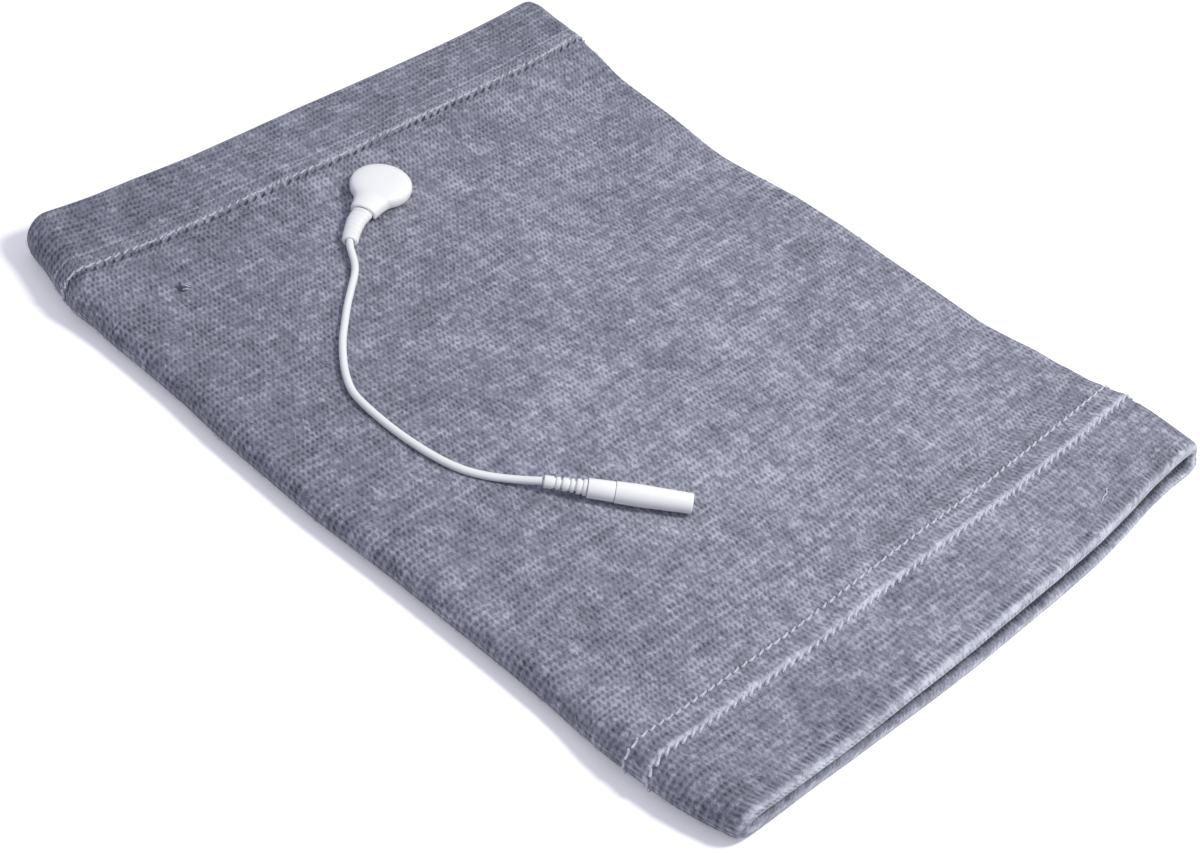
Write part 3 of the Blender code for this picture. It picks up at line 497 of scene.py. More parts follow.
def knit_material(look, marks):
    """Heather knit. The grid's X counts courses along the sleeve and its Y counts wales round it."""
    material, shader, start = new_material("heather_knit_cloth")
    grid = start.node("ShaderNodeUVMap", {"uv_map": KNIT_GRID})
    place = start.node("ShaderNodeTexCoord", output="Object")
    split = grid.node("ShaderNodeSeparateXYZ", None, {0: grid})
    course, wale = split, split.beside("Y")

    drift = place.noise(110.0, 2.0)
    shiver = place.noise(420.0, 1.0)
    along = course + drift * 1.5 + shiver * 0.6
    across = wale + place.noise(95.0, 2.0) * 1.3 + shiver * 0.5
    turn_along = along * math.tau
    turn_across = across * math.tau
    course_wave = turn_along.math("COSINE", turn_along)
    wale_wave = turn_across.math("COSINE", turn_across)
    slant = turn_along - turn_across
    slant_wave = slant.math("COSINE", slant)
    hems = course.step(marks["hem_start"] - 1.0, marks["hem_start"] + 1.0)
    hems = hems.math("MAXIMUM", hems, course.step(marks["hem_end"] - 1.0, marks["hem_end"] + 1.0, 1.0, 0.0))
    sides = wale.math("ABSOLUTE", wale).near(marks["side"], 9.0)
    plain = 1 - hems
    far = course.step(marks["hem_end"] - 2.0, marks["hem_end"] + 60.0, 1.0, 0.0)
    stitch = (wale_wave * (plain * 0.03 + 0.20) * (sides * 0.15 + 1)
              + course_wave * (far * hems * 0.08 + sides * 0.05 + 0.20)
              - slant_wave * (plain * 0.06 + 0.13 + far * 0.05))
    stitch = stitch * (place.noise(210.0, 2.0, 0.6) * 2.2 + 1)
    coarse = sides * yarn_rib(course, shiver) * 0.07

    cell = start.node("ShaderNodeCombineXYZ", None, {
        0: along.math("FLOOR", along + 0.5), 1: across.math("FLOOR", across + 0.5)})
    chance = start.node("ShaderNodeTexWhiteNoise", {"noise_dimensions": "2D"}, {"Vector": cell}) - 0.5
    yarn = start.node("ShaderNodeCombineXYZ", None, {0: course * 0.9, 1: wale * 0.07})
    streak = yarn.noise(1.0, 2.0, 0.6)
    fibre = place.noise(2300.0, 2.0, 0.75)
    fleck = place.noise(640.0, 3.0, 0.65)
    patch = place.noise(170.0, 2.0, 0.6)
    cloud = place.noise(34.0, 2.0)

    ends = marks["fold"]
    # The rounded fold band at the near mouth; its tone lift below is painted light, where the fold faces the
    # lamp
    fold = course.near((ends[0] + ends[1]) / 2, (ends[1] - ends[0]) / 2 + 0.5)
    ridge = (course.step(marks["near_ridge"] - 1.7, marks["near_ridge"]) * 0.5
             + course.near(marks["near_ridge"] + 0.1, 0.45) * 0.6) * course.step(
                 marks["near_ridge"] + 0.2, marks["near_ridge"] + 0.7, 1.0, 0.0)
    far_ridge = course.near(marks["far_ridge"] - 0.15, 0.6)
    far_row = course.near(marks["hem_end"] - 0.5, 0.6)
    # The ply inside the near mouth, seen through its gap; it is darkened below as painted shade
    inside = course.step(ends[0] + 2.0, ends[0] + 3.3)
    pale = fold.math("MAXIMUM", fold, ridge)
    gaps = (0.5 - wale_wave * 0.5) * (patch + 0.75)
    ticks = (course.near(ends[0] - 0.3, 0.6) + course.near(ends[0] + 1.5, 0.5) * 0.8) * gaps
    flank = course.near(marks["near_ridge"] - 1.1, 0.8) * gaps

    hole_across = across.math("FRACT", wale * 0.5) - 0.5
    hole_along = (course - marks["far_holes"] + shiver * 0.2) * 1.58 - hole_across * 1.7
    hole_reach = hole_along * hole_along * 6.0 + hole_across * hole_across * 9.0
    open_here = wale.near(marks["open"], 14.0) * 0.45 + 0.55
    holes = hole_reach.step(0.35, 1.35, 1.0, 0.0) * open_here * patch.step(-0.15, 0.12, 0.2, 1.0)

    contrast = 1 - pale * 0.6
    tone = (0.5 + stitch * contrast * look.stitch_contrast + chance * 0.18 + fibre * 0.62
            + fleck * 0.66 + patch * 0.50 + streak * 0.42 + cloud * 0.26 - coarse)
    # Painted light lifts the fold band, and painted shade darkens the ply inside the near mouth
    tone = tone - hems * 0.04 + fold * 0.36 + ridge * 0.30 + far_ridge * 0.18 + far_row * 0.08 - inside * 0.45
    tone = tone - ticks * 0.34 - flank * 0.10 - holes * 1.15
    along_x = place.node("ShaderNodeSeparateXYZ", None, {0: place})
    across_y = along_x.beside("Y")
    # Painted shade: the knit is darkened towards its left side and towards its far end, where less of the
    # lamp's light falls
    tone = tone - across_y.step(-0.075, -0.015, 1.0, 0.0) * 0.075
    tone = tone - along_x.step(-0.09, -0.02, 1.0, 0.0) * 0.04
    for x, y, z, depth in SNAGS:
        spot = place.node("ShaderNodeVectorMath", {"operation": "DISTANCE"},
                          {0: place, 1: (x, y, z)}, "Value")
        spot = (spot + fleck * 0.0030).step(0.0006, 0.0021, 1.0, 0.0)
        tone = tone - spot * depth
    colour = start.node("ShaderNodeValToRGB", {"stops": [
        (0.0, tuple(look.dark)), (0.5, tuple(look.middle)), (1.0, tuple(look.light))]}, {"Fac": tone})
    feed(shader, "Base Color", colour)
    feed(shader, "Roughness", tone.step(0.0, 1.0, 0.95, 0.8))
    height = stitch * contrast * 0.5 + fibre * 0.35 - coarse * 1.5 - ticks * 0.5 - flank * 0.3 - holes * 1.2
    bump = start.node("ShaderNodeBump", None, {"Strength": look.relief, "Distance": 0.0004, "Height": height})
    feed(shader, "Normal", bump)
    shader.inputs["Sheen Weight"].default_value = 0.15
    shader.inputs["Specular IOR Level"].default_value = 0.2
    return material


def thread_material(look):
    """Pale twisted sewing thread."""
    material, shader, start = new_material("seam_thread")
    place = start.node("ShaderNodeTexCoord", output="Object")
    ply = place.node("ShaderNodeTexWave", None, {"Vector": place, "Scale": 700.0, "Distortion": 2.0})
    tone = place.noise(900.0, 2.0) * 0.5 + ply * 0.25 + 0.45
    colour = start.node("ShaderNodeValToRGB", {"stops": [
        (0.0, (0.22, 0.23, 0.29)), (1.0, tuple(look.thread))]}, {"Fac": tone})
    feed(shader, "Base Color", colour)
    feed(shader, "Roughness", tone.step(0.0, 1.0, 0.85, 0.65))
    bump = start.node("ShaderNodeBump", None, {"Strength": 0.5, "Distance": 0.0001, "Height": ply})
    feed(shader, "Normal", bump)
    return material


def fibre_material(look):
    """The fine fibres that stand off the knit."""
    material, shader, start = new_material("stray_fibre")
    place = start.node("ShaderNodeTexCoord", output="Object")
    tone = place.noise(400.0, 1.0) + 0.5
    colour = start.node("ShaderNodeValToRGB", {"stops": [
        (0.2, tuple(look.middle)), (0.8, tuple(look.light))]}, {"Fac": tone})
    feed(shader, "Base Color", colour)
    feed(shader, "Roughness", tone.step(0.0, 1.0, 0.9, 0.8))
    return material


def plastic_material(name, colour, roughness, grain):
    """White moulded plastic with a faint mould texture."""
    material, shader, start = new_material(name)
    place = start.node("ShaderNodeTexCoord", output="Object")
    soft = place.noise(160.0, 3.0)
    fine = place.noise(2200.0, 2.0)
    tone = soft * 0.6 + fine * 0.25 + 0.5
    low = tuple(channel * 0.965 for channel in colour)
    shade = start.node("ShaderNodeValToRGB", {"stops": [(0.15, low), (0.85, tuple(colour))]}, {"Fac": tone})
    feed(shader, "Base Color", shade)
    feed(shader, "Roughness", tone.step(0.0, 1.0, roughness + 0.06, roughness - 0.05))
    bump = start.node("ShaderNodeBump", None,
                      {"Strength": grain, "Distance": 0.00004, "Height": fine + soft * 0.5})
    feed(shader, "Normal", bump)
    return material


def metal_material(name, colour, roughness):
    """Plated or drawn metal with fine turning marks."""
    material, shader, start = new_material(name)
    place = start.node("ShaderNodeTexCoord", output="Object")
    marks = place.noise(3200.0, 2.0)
    cloud = place.noise(500.0, 2.0)
    low = tuple(channel * 0.82 for channel in colour)
    shade = start.node("ShaderNodeValToRGB", {"stops": [(0.2, low), (0.8, tuple(colour))]},
                       {"Fac": cloud + 0.5})
    feed(shader, "Base Color", shade)
    feed(shader, "Roughness", marks.step(-0.5, 0.5, roughness - 0.06, roughness + 0.10))
    bump = start.node("ShaderNodeBump", None, {"Strength": 0.15, "Distance": 0.00003, "Height": marks})
    feed(shader, "Normal", bump)
    shader.inputs["Metallic"].default_value = 1.0
    return material


class SleeveSizes(bpy.types.PropertyGroup):
    """Sizes of the knit sleeve."""

    length: FloatProperty(name="Length", description="From fold to fold, without the bow", default=0.2070,
                          unit="LENGTH")
    width: FloatProperty(name="Width", description="Across the body", default=0.1560, unit="LENGTH")
    fabric: FloatProperty(name="Knit thickness", description="Thickness of one ply", default=0.0014,
                          unit="LENGTH")
    course: FloatProperty(name="Course pitch", description="Length of a stitch along the sleeve",
                          default=0.00158, unit="LENGTH")
    wales: IntProperty(name="Wales", description="Columns of stitches round the tube", default=268)


class KnitLook(bpy.types.PropertyGroup):
    """Colours and relief of the knit and its threads."""

    dark: FloatVectorProperty(name="Dark yarn", description="Colour between the stitches", subtype="COLOR",
                              default=(0.044, 0.048, 0.072))
    middle: FloatVectorProperty(name="Yarn", description="Main colour", subtype="COLOR",
                                default=(0.212, 0.219, 0.274))
    light: FloatVectorProperty(name="Light yarn", description="Colour of the palest fibres", subtype="COLOR",
                               default=(0.54, 0.555, 0.64))
    thread: FloatVectorProperty(name="Thread", description="Colour of the sewing thread", subtype="COLOR",
                                default=(0.70, 0.71, 0.79))
    stitch_contrast: FloatProperty(name="Stitch contrast", description="How dark the gaps are", default=0.30)
    relief: FloatProperty(name="Relief", description="Strength of the knit's relief", default=0.8)


class SeamSizes(bpy.types.PropertyGroup):
    """Sizes of the sewing."""

    pitch: FloatProperty(name="Stitch pitch", description="From stitch to stitch", default=0.00238,
                         unit="LENGTH")
    thread: FloatProperty(name="Thread", description="Thickness of the thread", default=0.00042,
                          unit="LENGTH")


class LeadLook(bpy.types.PropertyGroup):
    """Colours of the lead."""

    shell: FloatVectorProperty(name="Shell", description="Colour of the moulded shells", subtype="COLOR",
                               default=(0.835, 0.84, 0.835))
    soft: FloatVectorProperty(name="Soft plastic", description="Colour of the boots and cable",
                              subtype="COLOR", default=(0.79, 0.80, 0.80))


class StageLook(bpy.types.PropertyGroup):
    """Light and ground."""

    key_power: FloatProperty(name="Key light", description="Power of the lamp", default=2.65, unit="POWER")
    fill: FloatProperty(name="Fill", description="Strength of the light from all round", default=0.63)


def side_edges(sizes, x, inset):
    """Y of the left and right edges at x, for a layer this far inside the outer face."""
    half = sizes.length / 2
    share = (x - MIDDLE_X) / half
    reach = 0.001 / half
    edges = []
    for table in (LEFT_EDGE, RIGHT_EDGE):
        slope = (from_table(table, share + reach) - from_table(table, share - reach)) / 0.002
        edges.append(sizes.width / 2 + from_table(table, share) - inset * math.hypot(1, slope))
    return -edges[0], edges[1]


def hem_share(from_end, length):
    """1 in the hems, falling to 0 over this length past their inner stitching."""
    return 1 - ease((from_end - HEM_STEP_START) / length)


def seam_relief(x):
    """How far the sewing lifts or sinks the top layer at x."""
    return sum(height * math.exp(-((x - line) / width)**2) for line, height, width in SEAM_RELIEF)


def closed_share(y, x):
    """1 where the near mouth is closed, on its left."""
    return (1 - ease((y + 0.055) / 0.045)) * (x > MIDDLE_X)


def sleeve_ring(sizes, x, inset=0.0, outer=True):
    """One closed section across the sleeve, from its lower left round to its upper left."""
    ply = 2 * sizes.fabric + HEM_PLY_GAP
    from_end = sizes.length / 2 - abs(x - MIDDLE_X)
    body_side = 2 * sizes.fabric + BODY_SIDE_HOLLOW
    hem_side = 2 * ply + HEM_SIDE_HOLLOW
    side = body_side + (hem_side - body_side) * hem_share(from_end, SIDE_STEP_LENGTH)
    left, right = side_edges(sizes, x, inset)
    radius = side / 2 - inset
    centre_left, centre_right = left + radius, right - radius
    fill = side / 2 / ply - 1 - CLOSED_GAP / 2 / ply if x > MIDDLE_X else 0.0
    left_radius = side / 2 - inset * (1 + fill)
    relief = seam_relief(x) if outer else 0.0

    low = centre_left + (centre_right - centre_left) * np.arange(BELOW_STEPS) / BELOW_STEPS
    points = [np.stack([low, inset * (1 + closed_share(low, x) * fill * np.abs(low / centre_left)**4)], 1)]
    turn = math.pi * np.arange(SIDE_STEPS) / SIDE_STEPS
    rise = side / 2 - radius * np.cos(turn) + relief * ease(turn / math.pi)
    points.append(np.stack([centre_right + radius * np.sin(turn), rise], 1))

    y = centre_right + (centre_left - centre_right) * np.arange(ABOVE_STEPS + 1) / ABOVE_STEPS
    across = np.minimum(1.0, np.abs(y - (left + right) / 2) / ((right - left - side) / 2))
    hollow = FAR_HEM_HOLLOW if x < MIDDLE_X else from_table(NEAR_HEM_HOLLOW, y / (sizes.width / 2))
    body = 2 * sizes.fabric + BODY_HOLLOW
    raised = hem_share(from_end, HEM_STEP_LENGTH)
    middle = body + (2 * ply + hollow - body) * raised
    level = (1 - across**2) * (1 - raised)
    wave = np.cos(math.tau * (x - HEAD_AT.x) / WAVE_LENGTH) * np.cos(math.tau * (y - HEAD_AT.y) / WAVE_WIDTH)
    top = middle + (side - middle) * across**4 - WAVE_HEIGHT * wave * level
    if outer:
        clear = ease(np.hypot(x - HEAD_AT.x, y - HEAD_AT.y) / 0.02)
        top = top + clear * (0.00009 * ripples(x, y, 0.021, 3) + 0.00005 * ripples(x, y, 0.0065, 4))
    points.append(np.stack([y, top - inset * (1 + closed_share(y, x) * fill * across**4) + relief], 1))

    turn = math.pi * (1 - np.arange(1, SIDE_STEPS) / SIDE_STEPS)
    rise = side / 2 - left_radius * np.cos(turn) + relief * ease(turn / math.pi)
    points.append(np.stack([centre_left - radius * np.sin(turn), rise], 1))
    ring = np.concatenate(points)

    share = ring[:, 0] / (sizes.width / 2)
    falloff = 1 - ease(from_end / BOW_REACH)
    if x < MIDDLE_X:
        shift = from_table(FAR_INSET, share) * falloff
    else:
        height_share = ring[:, 1] / side
        shift = NEAR_BOW * from_table(NEAR_BOW_SHARES, share) * falloff
        shift = shift * (1 - (1 - TOP_BOW_SHARE) * height_share)
        back = 1 - ease(from_end / SETBACK_REACH)
        shift = shift - from_table(TOP_SETBACK, share) * back * ease((height_share - 0.32) / 0.22)
    if outer:
        for table, line in ((NEAR_WANDER, NEAR_RIDGE_X), (FAR_WANDER, FAR_RIDGE_X)):
            shift = shift + from_table(table, ring[:, 0]) * math.exp(-((x - line) / WANDER_REACH)**2)
    return np.column_stack([x + shift, ring])


def hem_stations(sizes, seams):
    """Distance from the end and inset of each section, from the hem's raw edge round its fold to the body."""
    ply = 2 * sizes.fabric + HEM_PLY_GAP
    fold = ply / 2
    stations = [(distance, ply, False) for distance in np.linspace(HEM_DEPTH, fold, 14)[:-1]]
    for turn in np.linspace(math.pi, 0.0, 15):
        stations.append((fold * (1 - math.sin(turn)), fold * (1 - math.cos(turn)), turn < 0.6))
    fine = [seam + offset * 0.0003 for seam in seams for offset in range(-6, 7)]
    marks = sorted([*np.arange(fold + 0.001, HEM_DEPTH + 0.009, 0.0014), *fine])
    kept = [fold + 0.0004]
    for mark in marks:
        if mark - kept[-1] > 0.00022:
            kept.append(mark)
    return stations + [(mark, 0.0, True) for mark in kept]


def build_knit(sizes, look):
    """The knit tube, with its stitch grid."""
    half = sizes.length / 2
    low_end, high_end = MIDDLE_X - half, MIDDLE_X + half
    far = hem_stations(sizes, [x - low_end for x in (FAR_ROW_X, FAR_RIDGE_X, FAR_HOLES_X)])
    near = hem_stations(sizes, [high_end - x for x in (NEAR_ROW_X, NEAR_RIDGE_X)])
    stations = [(low_end + distance, inset, outer) for distance, inset, outer in far]
    body_start = stations[-1][0]
    body_end = high_end - near[-1][0]
    stations += [(x, 0.0, True) for x in np.linspace(body_start, body_end, 66)[1:-1]]
    stations += [(high_end - distance, inset, outer) for distance, inset, outer in reversed(near)]

    rings = np.array([sleeve_ring(sizes, x, inset, outer) for x, inset, outer in stations])
    rows, columns, _ = rings.shape
    top_middle = ABOVE_START + ABOVE_STEPS // 2
    meridian = rings[:, top_middle]
    along = np.cumsum(np.linalg.norm(np.diff(meridian, axis=0), axis=1))
    course = np.concatenate([[0.0], along]) / sizes.course
    around = np.linalg.norm(np.roll(rings, -1, axis=1) - rings, axis=2)
    distance = np.concatenate([np.zeros((rows, 1)), np.cumsum(around, axis=1)], axis=1)
    wale = (distance - distance[:, top_middle:top_middle + 1]) / distance[:, -1:] * sizes.wales

    index = np.arange(rows * columns).reshape(rows, columns)
    after = np.roll(index, -1, axis=1)
    faces = np.stack([index[:-1], after[:-1], after[1:], index[1:]], axis=-1).reshape(-1, 4)
    mesh = mesh_from("knit_sleeve_cloth", rings.reshape(-1, 3), faces.tolist())
    grid = np.empty((rows - 1, columns, 4, 2))
    grid[:, :, :2, 0] = course[:-1, None, None]
    grid[:, :, 2:, 0] = course[1:, None, None]
    for corner, row, column in ((0, 0, 0), (1, 0, 1), (2, 1, 1), (3, 1, 0)):
        grid[:, :, corner, 1] = wale[row:rows - 1 + row, column:columns + column]
    layer = mesh.uv_layers.new(name=KNIT_GRID)
    layer.data.foreach_set("uv", grid.reshape(-1))

    outer_rows = [i for i, (_, inset, _) in enumerate(stations) if inset == 0.0]
    outer_x = [stations[i][0] for i in outer_rows]
    outer_course = course[outer_rows]
    middle = rows // 2
    above = slice(ABOVE_START, ABOVE_END)
    marks = {
        "near_ridge": float(np.interp(NEAR_RIDGE_X, outer_x, outer_course)),
        "far_ridge": float(np.interp(FAR_RIDGE_X, outer_x, outer_course)),
        "far_holes": float(np.interp(FAR_HOLES_X, outer_x, outer_course)),
        "fold": (float(outer_course[-1]), float(outer_course[-1]) + 2.6),
        "open": float(np.interp(WIDEST_HOLES_Y, rings[middle, above, 1][::-1], wale[middle, above][::-1])),
        "side": float(wale[middle, BELOW_STEPS] + wale[middle, ABOVE_START]) / -2,
    }
    marks["hem_start"] = marks["near_ridge"] - 0.5
    marks["hem_end"] = float(np.interp(FAR_ROW_X, outer_x, outer_course)) + 0.5
    cloth = new_object("knit_sleeve_cloth", mesh, knit_material(look, marks))
    wall = cloth.modifiers.new("knit thickness", "SOLIDIFY")
    wall.thickness = sizes.fabric
    wall.offset = -1.0
    wall.use_even_offset = True
    return settled(cloth)


def tube(name, routes, radius, resolution, material, caps=False):
    """A round tube along each of these routes, as one curve object."""
    curve = bpy.data.curves.new(name, "CURVE")
    curve.dimensions = "3D"
    curve.bevel_depth = radius
    curve.bevel_resolution = resolution
    curve.use_fill_caps = caps
    for route in routes:
        spline = curve.splines.new("POLY")
        spline.points.add(len(route) - 1)
        for target, point in zip(spline.points, route):
            target.co = (*point, 1.0)
        spline.use_smooth = True
    curve.materials.append(material)
    made = bpy.data.objects.new(name, curve)
    bpy.context.scene.collection.objects.link(made)
    return made


def pressed(made):
    """Flattens what hangs below the sleeve on the table."""
    places = np.empty(len(made.data.vertices) * 3)
    made.data.vertices.foreach_get("co", places)
    places[2::3] = np.maximum(places[2::3], PRESSED_LOW)
    made.data.vertices.foreach_set("co", places)
    return made


class Repeat:
    """A geometry tree that lays a small thread many times, from a source shape, named sizes and a seed."""

    def __init__(self, name, source, sizes):
        self.tree = bpy.data.node_groups.new(name, "GeometryNodeTree")
        face = self.tree.interface
        face.new_socket(source, in_out="INPUT", socket_type="NodeSocketGeometry")
        self.sockets = {}
        for label in sizes:
            socket = face.new_socket(label, in_out="INPUT", socket_type="NodeSocketFloat")
            self.sockets[label] = socket.identifier
        self.sockets["Seed"] = face.new_socket("Seed", in_out="INPUT", socket_type="NodeSocketInt").identifier
        face.new_socket("Threads", in_out="OUTPUT", socket_type="NodeSocketGeometry")
        self.inputs = self.add("NodeGroupInput").outputs

    def add(self, kind, links=None, **settings):
        made = self.tree.nodes.new(kind)
        for key, value in settings.items():
            setattr(made, key, value)
        for key, value in (links or {}).items():
            if isinstance(value, bpy.types.NodeSocket):
                self.tree.links.new(value, made.inputs[key])
            else:
                made.inputs[key].default_value = value
        return made

    def maths(self, operation, a, b):
        return self.add("ShaderNodeMath", {0: a, 1: b}, operation=operation).outputs[0]

    def finish(self, laid, material, smooth):
        """Makes the instances real, gives them their material and sends them out."""
        real = self.add("GeometryNodeRealizeInstances", {"Geometry": laid}).outputs[0]
        if smooth:
            real = self.add("GeometryNodeSetShadeSmooth", {"Geometry": real}).outputs[0]
        dyed = self.add("GeometryNodeSetMaterial", {"Geometry": real, "Material": material}).outputs[0]
        self.tree.links.new(dyed, self.tree.nodes.new("NodeGroupOutput").inputs[0])

    def lay(self, made, values):
        """Runs the tree on this object and leaves a plain mesh."""
        modifier = made.modifiers.new(self.tree.name, "NODES")
        modifier.node_group = self.tree
        for label, value in values.items():
            modifier[self.sockets[label]] = value
        return pressed(settled(made))


def sewn_stitches(material):
    """Lays arched stitches at even steps along the line of a seam."""
    sewing = Repeat("sewn_stitches", "Seam", ("Pitch", "Length", "Thickness", "Arch", "Lean", "Unevenness"))
    add, maths, inputs = sewing.add, sewing.maths, sewing.inputs
    curve = add("GeometryNodeMeshToCurve", {"Mesh": inputs["Seam"]}).outputs[0]
    spaced = add("GeometryNodeResampleCurve", {"Curve": curve, "Length": inputs["Pitch"]},
                 mode="LENGTH").outputs[0]
    half = maths("MULTIPLY", inputs["Length"], 0.5)
    dip = maths("MULTIPLY", inputs["Thickness"], -0.45)
    ends = [add("ShaderNodeCombineXYZ", {"X": maths("MULTIPLY", half, side), "Z": dip}).outputs[0]
            for side in (-1, 1)]
    middle = add("ShaderNodeCombineXYZ", {"Z": maths("MULTIPLY", inputs["Arch"], 2.0)}).outputs[0]
    arc = add("GeometryNodeCurveQuadraticBezier", {
        "Resolution": 7, "Start": ends[0], "Middle": middle, "End": ends[1]}).outputs[0]
    radius = maths("MULTIPLY", inputs["Thickness"], 0.5)
    section = add("GeometryNodeCurvePrimitiveCircle", {"Resolution": 7, "Radius": radius}).outputs[0]
    thread = add("GeometryNodeCurveToMesh", {
        "Curve": arc, "Profile Curve": section, "Fill Caps": True}).outputs[0]

    tangent = add("GeometryNodeInputTangent").outputs[0]
    outward = add("ShaderNodeVectorMath", {0: (1.0, 0.0, 0.0), 1: tangent},
                  operation="CROSS_PRODUCT").outputs[0]
    turn = add("FunctionNodeAxesToRotation", {"Primary Axis": outward, "Secondary Axis": tangent},
               primary_axis="Z", secondary_axis="X").outputs[0]
    spread = add("FunctionNodeRandomValue", {"Min": -1.0, "Max": 1.0, "Seed": inputs["Seed"]},
                 data_type="FLOAT").outputs["Value"]
    wobble = maths("MULTIPLY", spread, maths("MULTIPLY", inputs["Unevenness"], 0.6))
    lean = add("FunctionNodeAxisAngleToRotation", {
        "Axis": (0.0, 0.0, 1.0), "Angle": maths("ADD", inputs["Lean"], wobble)}).outputs[0]
    leaned = add("FunctionNodeRotateRotation", {0: turn, 1: lean}, rotation_space="LOCAL").outputs[0]
    size = maths("ADD", 1.0, maths("MULTIPLY", spread, inputs["Unevenness"]))
    scale = add("ShaderNodeCombineXYZ", {"X": size, "Y": 1.0, "Z": 1.0}).outputs[0]
    laid = add("GeometryNodeInstanceOnPoints", {
        "Points": spaced, "Instance": thread, "Rotation": leaned, "Scale": scale}).outputs[0]
    sewing.finish(laid, material, smooth=True)
    return sewing


def scattered_fibres(material):
    """Scatters fine bent fibres over the knit."""
    fuzz = Repeat("stray_fibres", "Knit", ("Density", "Length", "Thickness"))
    add, maths, inputs = fuzz.add, fuzz.maths, fuzz.inputs
    scattered = add("GeometryNodeDistributePointsOnFaces", {
        "Mesh": inputs["Knit"], "Density": inputs["Density"], "Seed": inputs["Seed"]}).outputs
    length = inputs["Length"]
    middle = add("ShaderNodeCombineXYZ", {"Z": maths("MULTIPLY", length, 0.42)}).outputs[0]
    end = add("ShaderNodeCombineXYZ", {
        "X": maths("MULTIPLY", length, 0.85), "Y": maths("MULTIPLY", length, 0.2),
        "Z": maths("MULTIPLY", length, 0.12)}).outputs[0]
    bend = add("GeometryNodeCurveQuadraticBezier", {
        "Resolution": 4, "Middle": middle, "End": end, "Start": (0.0, 0.0, 0.0)}).outputs[0]
    section = add("GeometryNodeCurvePrimitiveCircle", {
        "Resolution": 3, "Radius": maths("MULTIPLY", inputs["Thickness"], 0.5)}).outputs[0]
    fibre = add("GeometryNodeCurveToMesh", {"Curve": bend, "Profile Curve": section}).outputs[0]
    heading = add("FunctionNodeRandomValue", {"Min": 0.0, "Max": math.tau, "Seed": inputs["Seed"]},
                  data_type="FLOAT").outputs["Value"]
    spin = add("FunctionNodeAxisAngleToRotation", {"Axis": (0.0, 0.0, 1.0), "Angle": heading}).outputs[0]
    turn = add("FunctionNodeRotateRotation", {0: scattered["Rotation"], 1: spin},
               rotation_space="LOCAL").outputs[0]
    size = add("FunctionNodeRandomValue", {"Min": 0.45, "Max": 1.25, "Seed": maths("ADD", inputs["Seed"], 1)},
               data_type="FLOAT").outputs["Value"]
    laid = add("GeometryNodeInstanceOnPoints", {
        "Points": scattered["Points"], "Instance": fibre, "Rotation": turn, "Scale": size}).outputs[0]
    fuzz.finish(laid, material, smooth=False)
    return fuzz


def seam_ring(sizes, x, lift):
    """The line of a seam round the sleeve's outer face."""
    ring = sleeve_ring(sizes, x)
    centre = ring.mean(axis=0)
    ring[:, 2] += np.where(ring[:, 2] > centre[2], lift, -lift * 0.2)
    return ring


class SLEEVE_OT_knit(bpy.types.Operator):
    """Makes the knit sleeve"""

    bl_idname = "sleeve.knit"
    bl_label = "Knit sleeve"

    def execute(self, context):
        sizes = context.scene.sleeve_sizes
        cloth = build_knit(sizes, context.scene.knit_look)
        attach(cloth, ROOT)
        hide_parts("knit_sleeve")
        return {"FINISHED"}


class SLEEVE_OT_seams(bpy.types.Operator):
    """Sews the four rows of stitches"""

    bl_idname = "sleeve.seams"
    bl_label = "Seams"

    def execute(self, context):
        sizes = context.scene.sleeve_sizes
        seams = context.scene.seam_sizes
        thread = thread_material(context.scene.knit_look)
        sewing = sewn_stitches(thread)
        for name, x, lift, length, thickness, arch, lean, unevenness, seed in SEAM_ROWS:
            values = {"Pitch": seams.pitch, "Length": length, "Thickness": seams.thread * thickness,
                      "Arch": arch, "Lean": lean, "Unevenness": unevenness, "Seed": seed}
            ring = seam_ring(sizes, x, lift)
            edges = [(i, (i + 1) % len(ring)) for i in range(len(ring))]
            mesh = bpy.data.meshes.new(name)
            mesh.from_pydata([tuple(point) for point in ring], edges, [])
            row = sewing.lay(new_object(name, mesh, thread), values)
            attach(row, ROOT)
        return {"FINISHED"}


def top_height(sizes, x, y):
    """Height of the sleeve's top at this place."""
    top = sleeve_ring(sizes, x)[ABOVE_START:ABOVE_END + 1]
    return float(np.interp(-y, -top[:, 1], top[:, 2]))


def pulled_threads(sizes, material):
    """The threads that stand up where the knit is snagged."""
    routes = []
    for line in PULLED:
        last = len(line) - 1
        route = []
        for i, (x, y) in enumerate(line):
            rise = PULLED_THREAD_RISE if 0 < i < last else -PULLED_THREAD_RISE
            route.append((x, y, top_height(sizes, x, y) + rise))
        routes.append(smooth_path(route, 0.0003))
    threads = tube("pulled_threads", routes, PULLED_THREAD_RADIUS, 2, material)
    depsgraph = bpy.context.evaluated_depsgraph_get()
    mesh = bpy.data.meshes.new_from_object(threads.evaluated_get(depsgraph), depsgraph=depsgraph)
    bpy.data.objects.remove(threads)
    return new_object("pulled_threads", mesh, material)


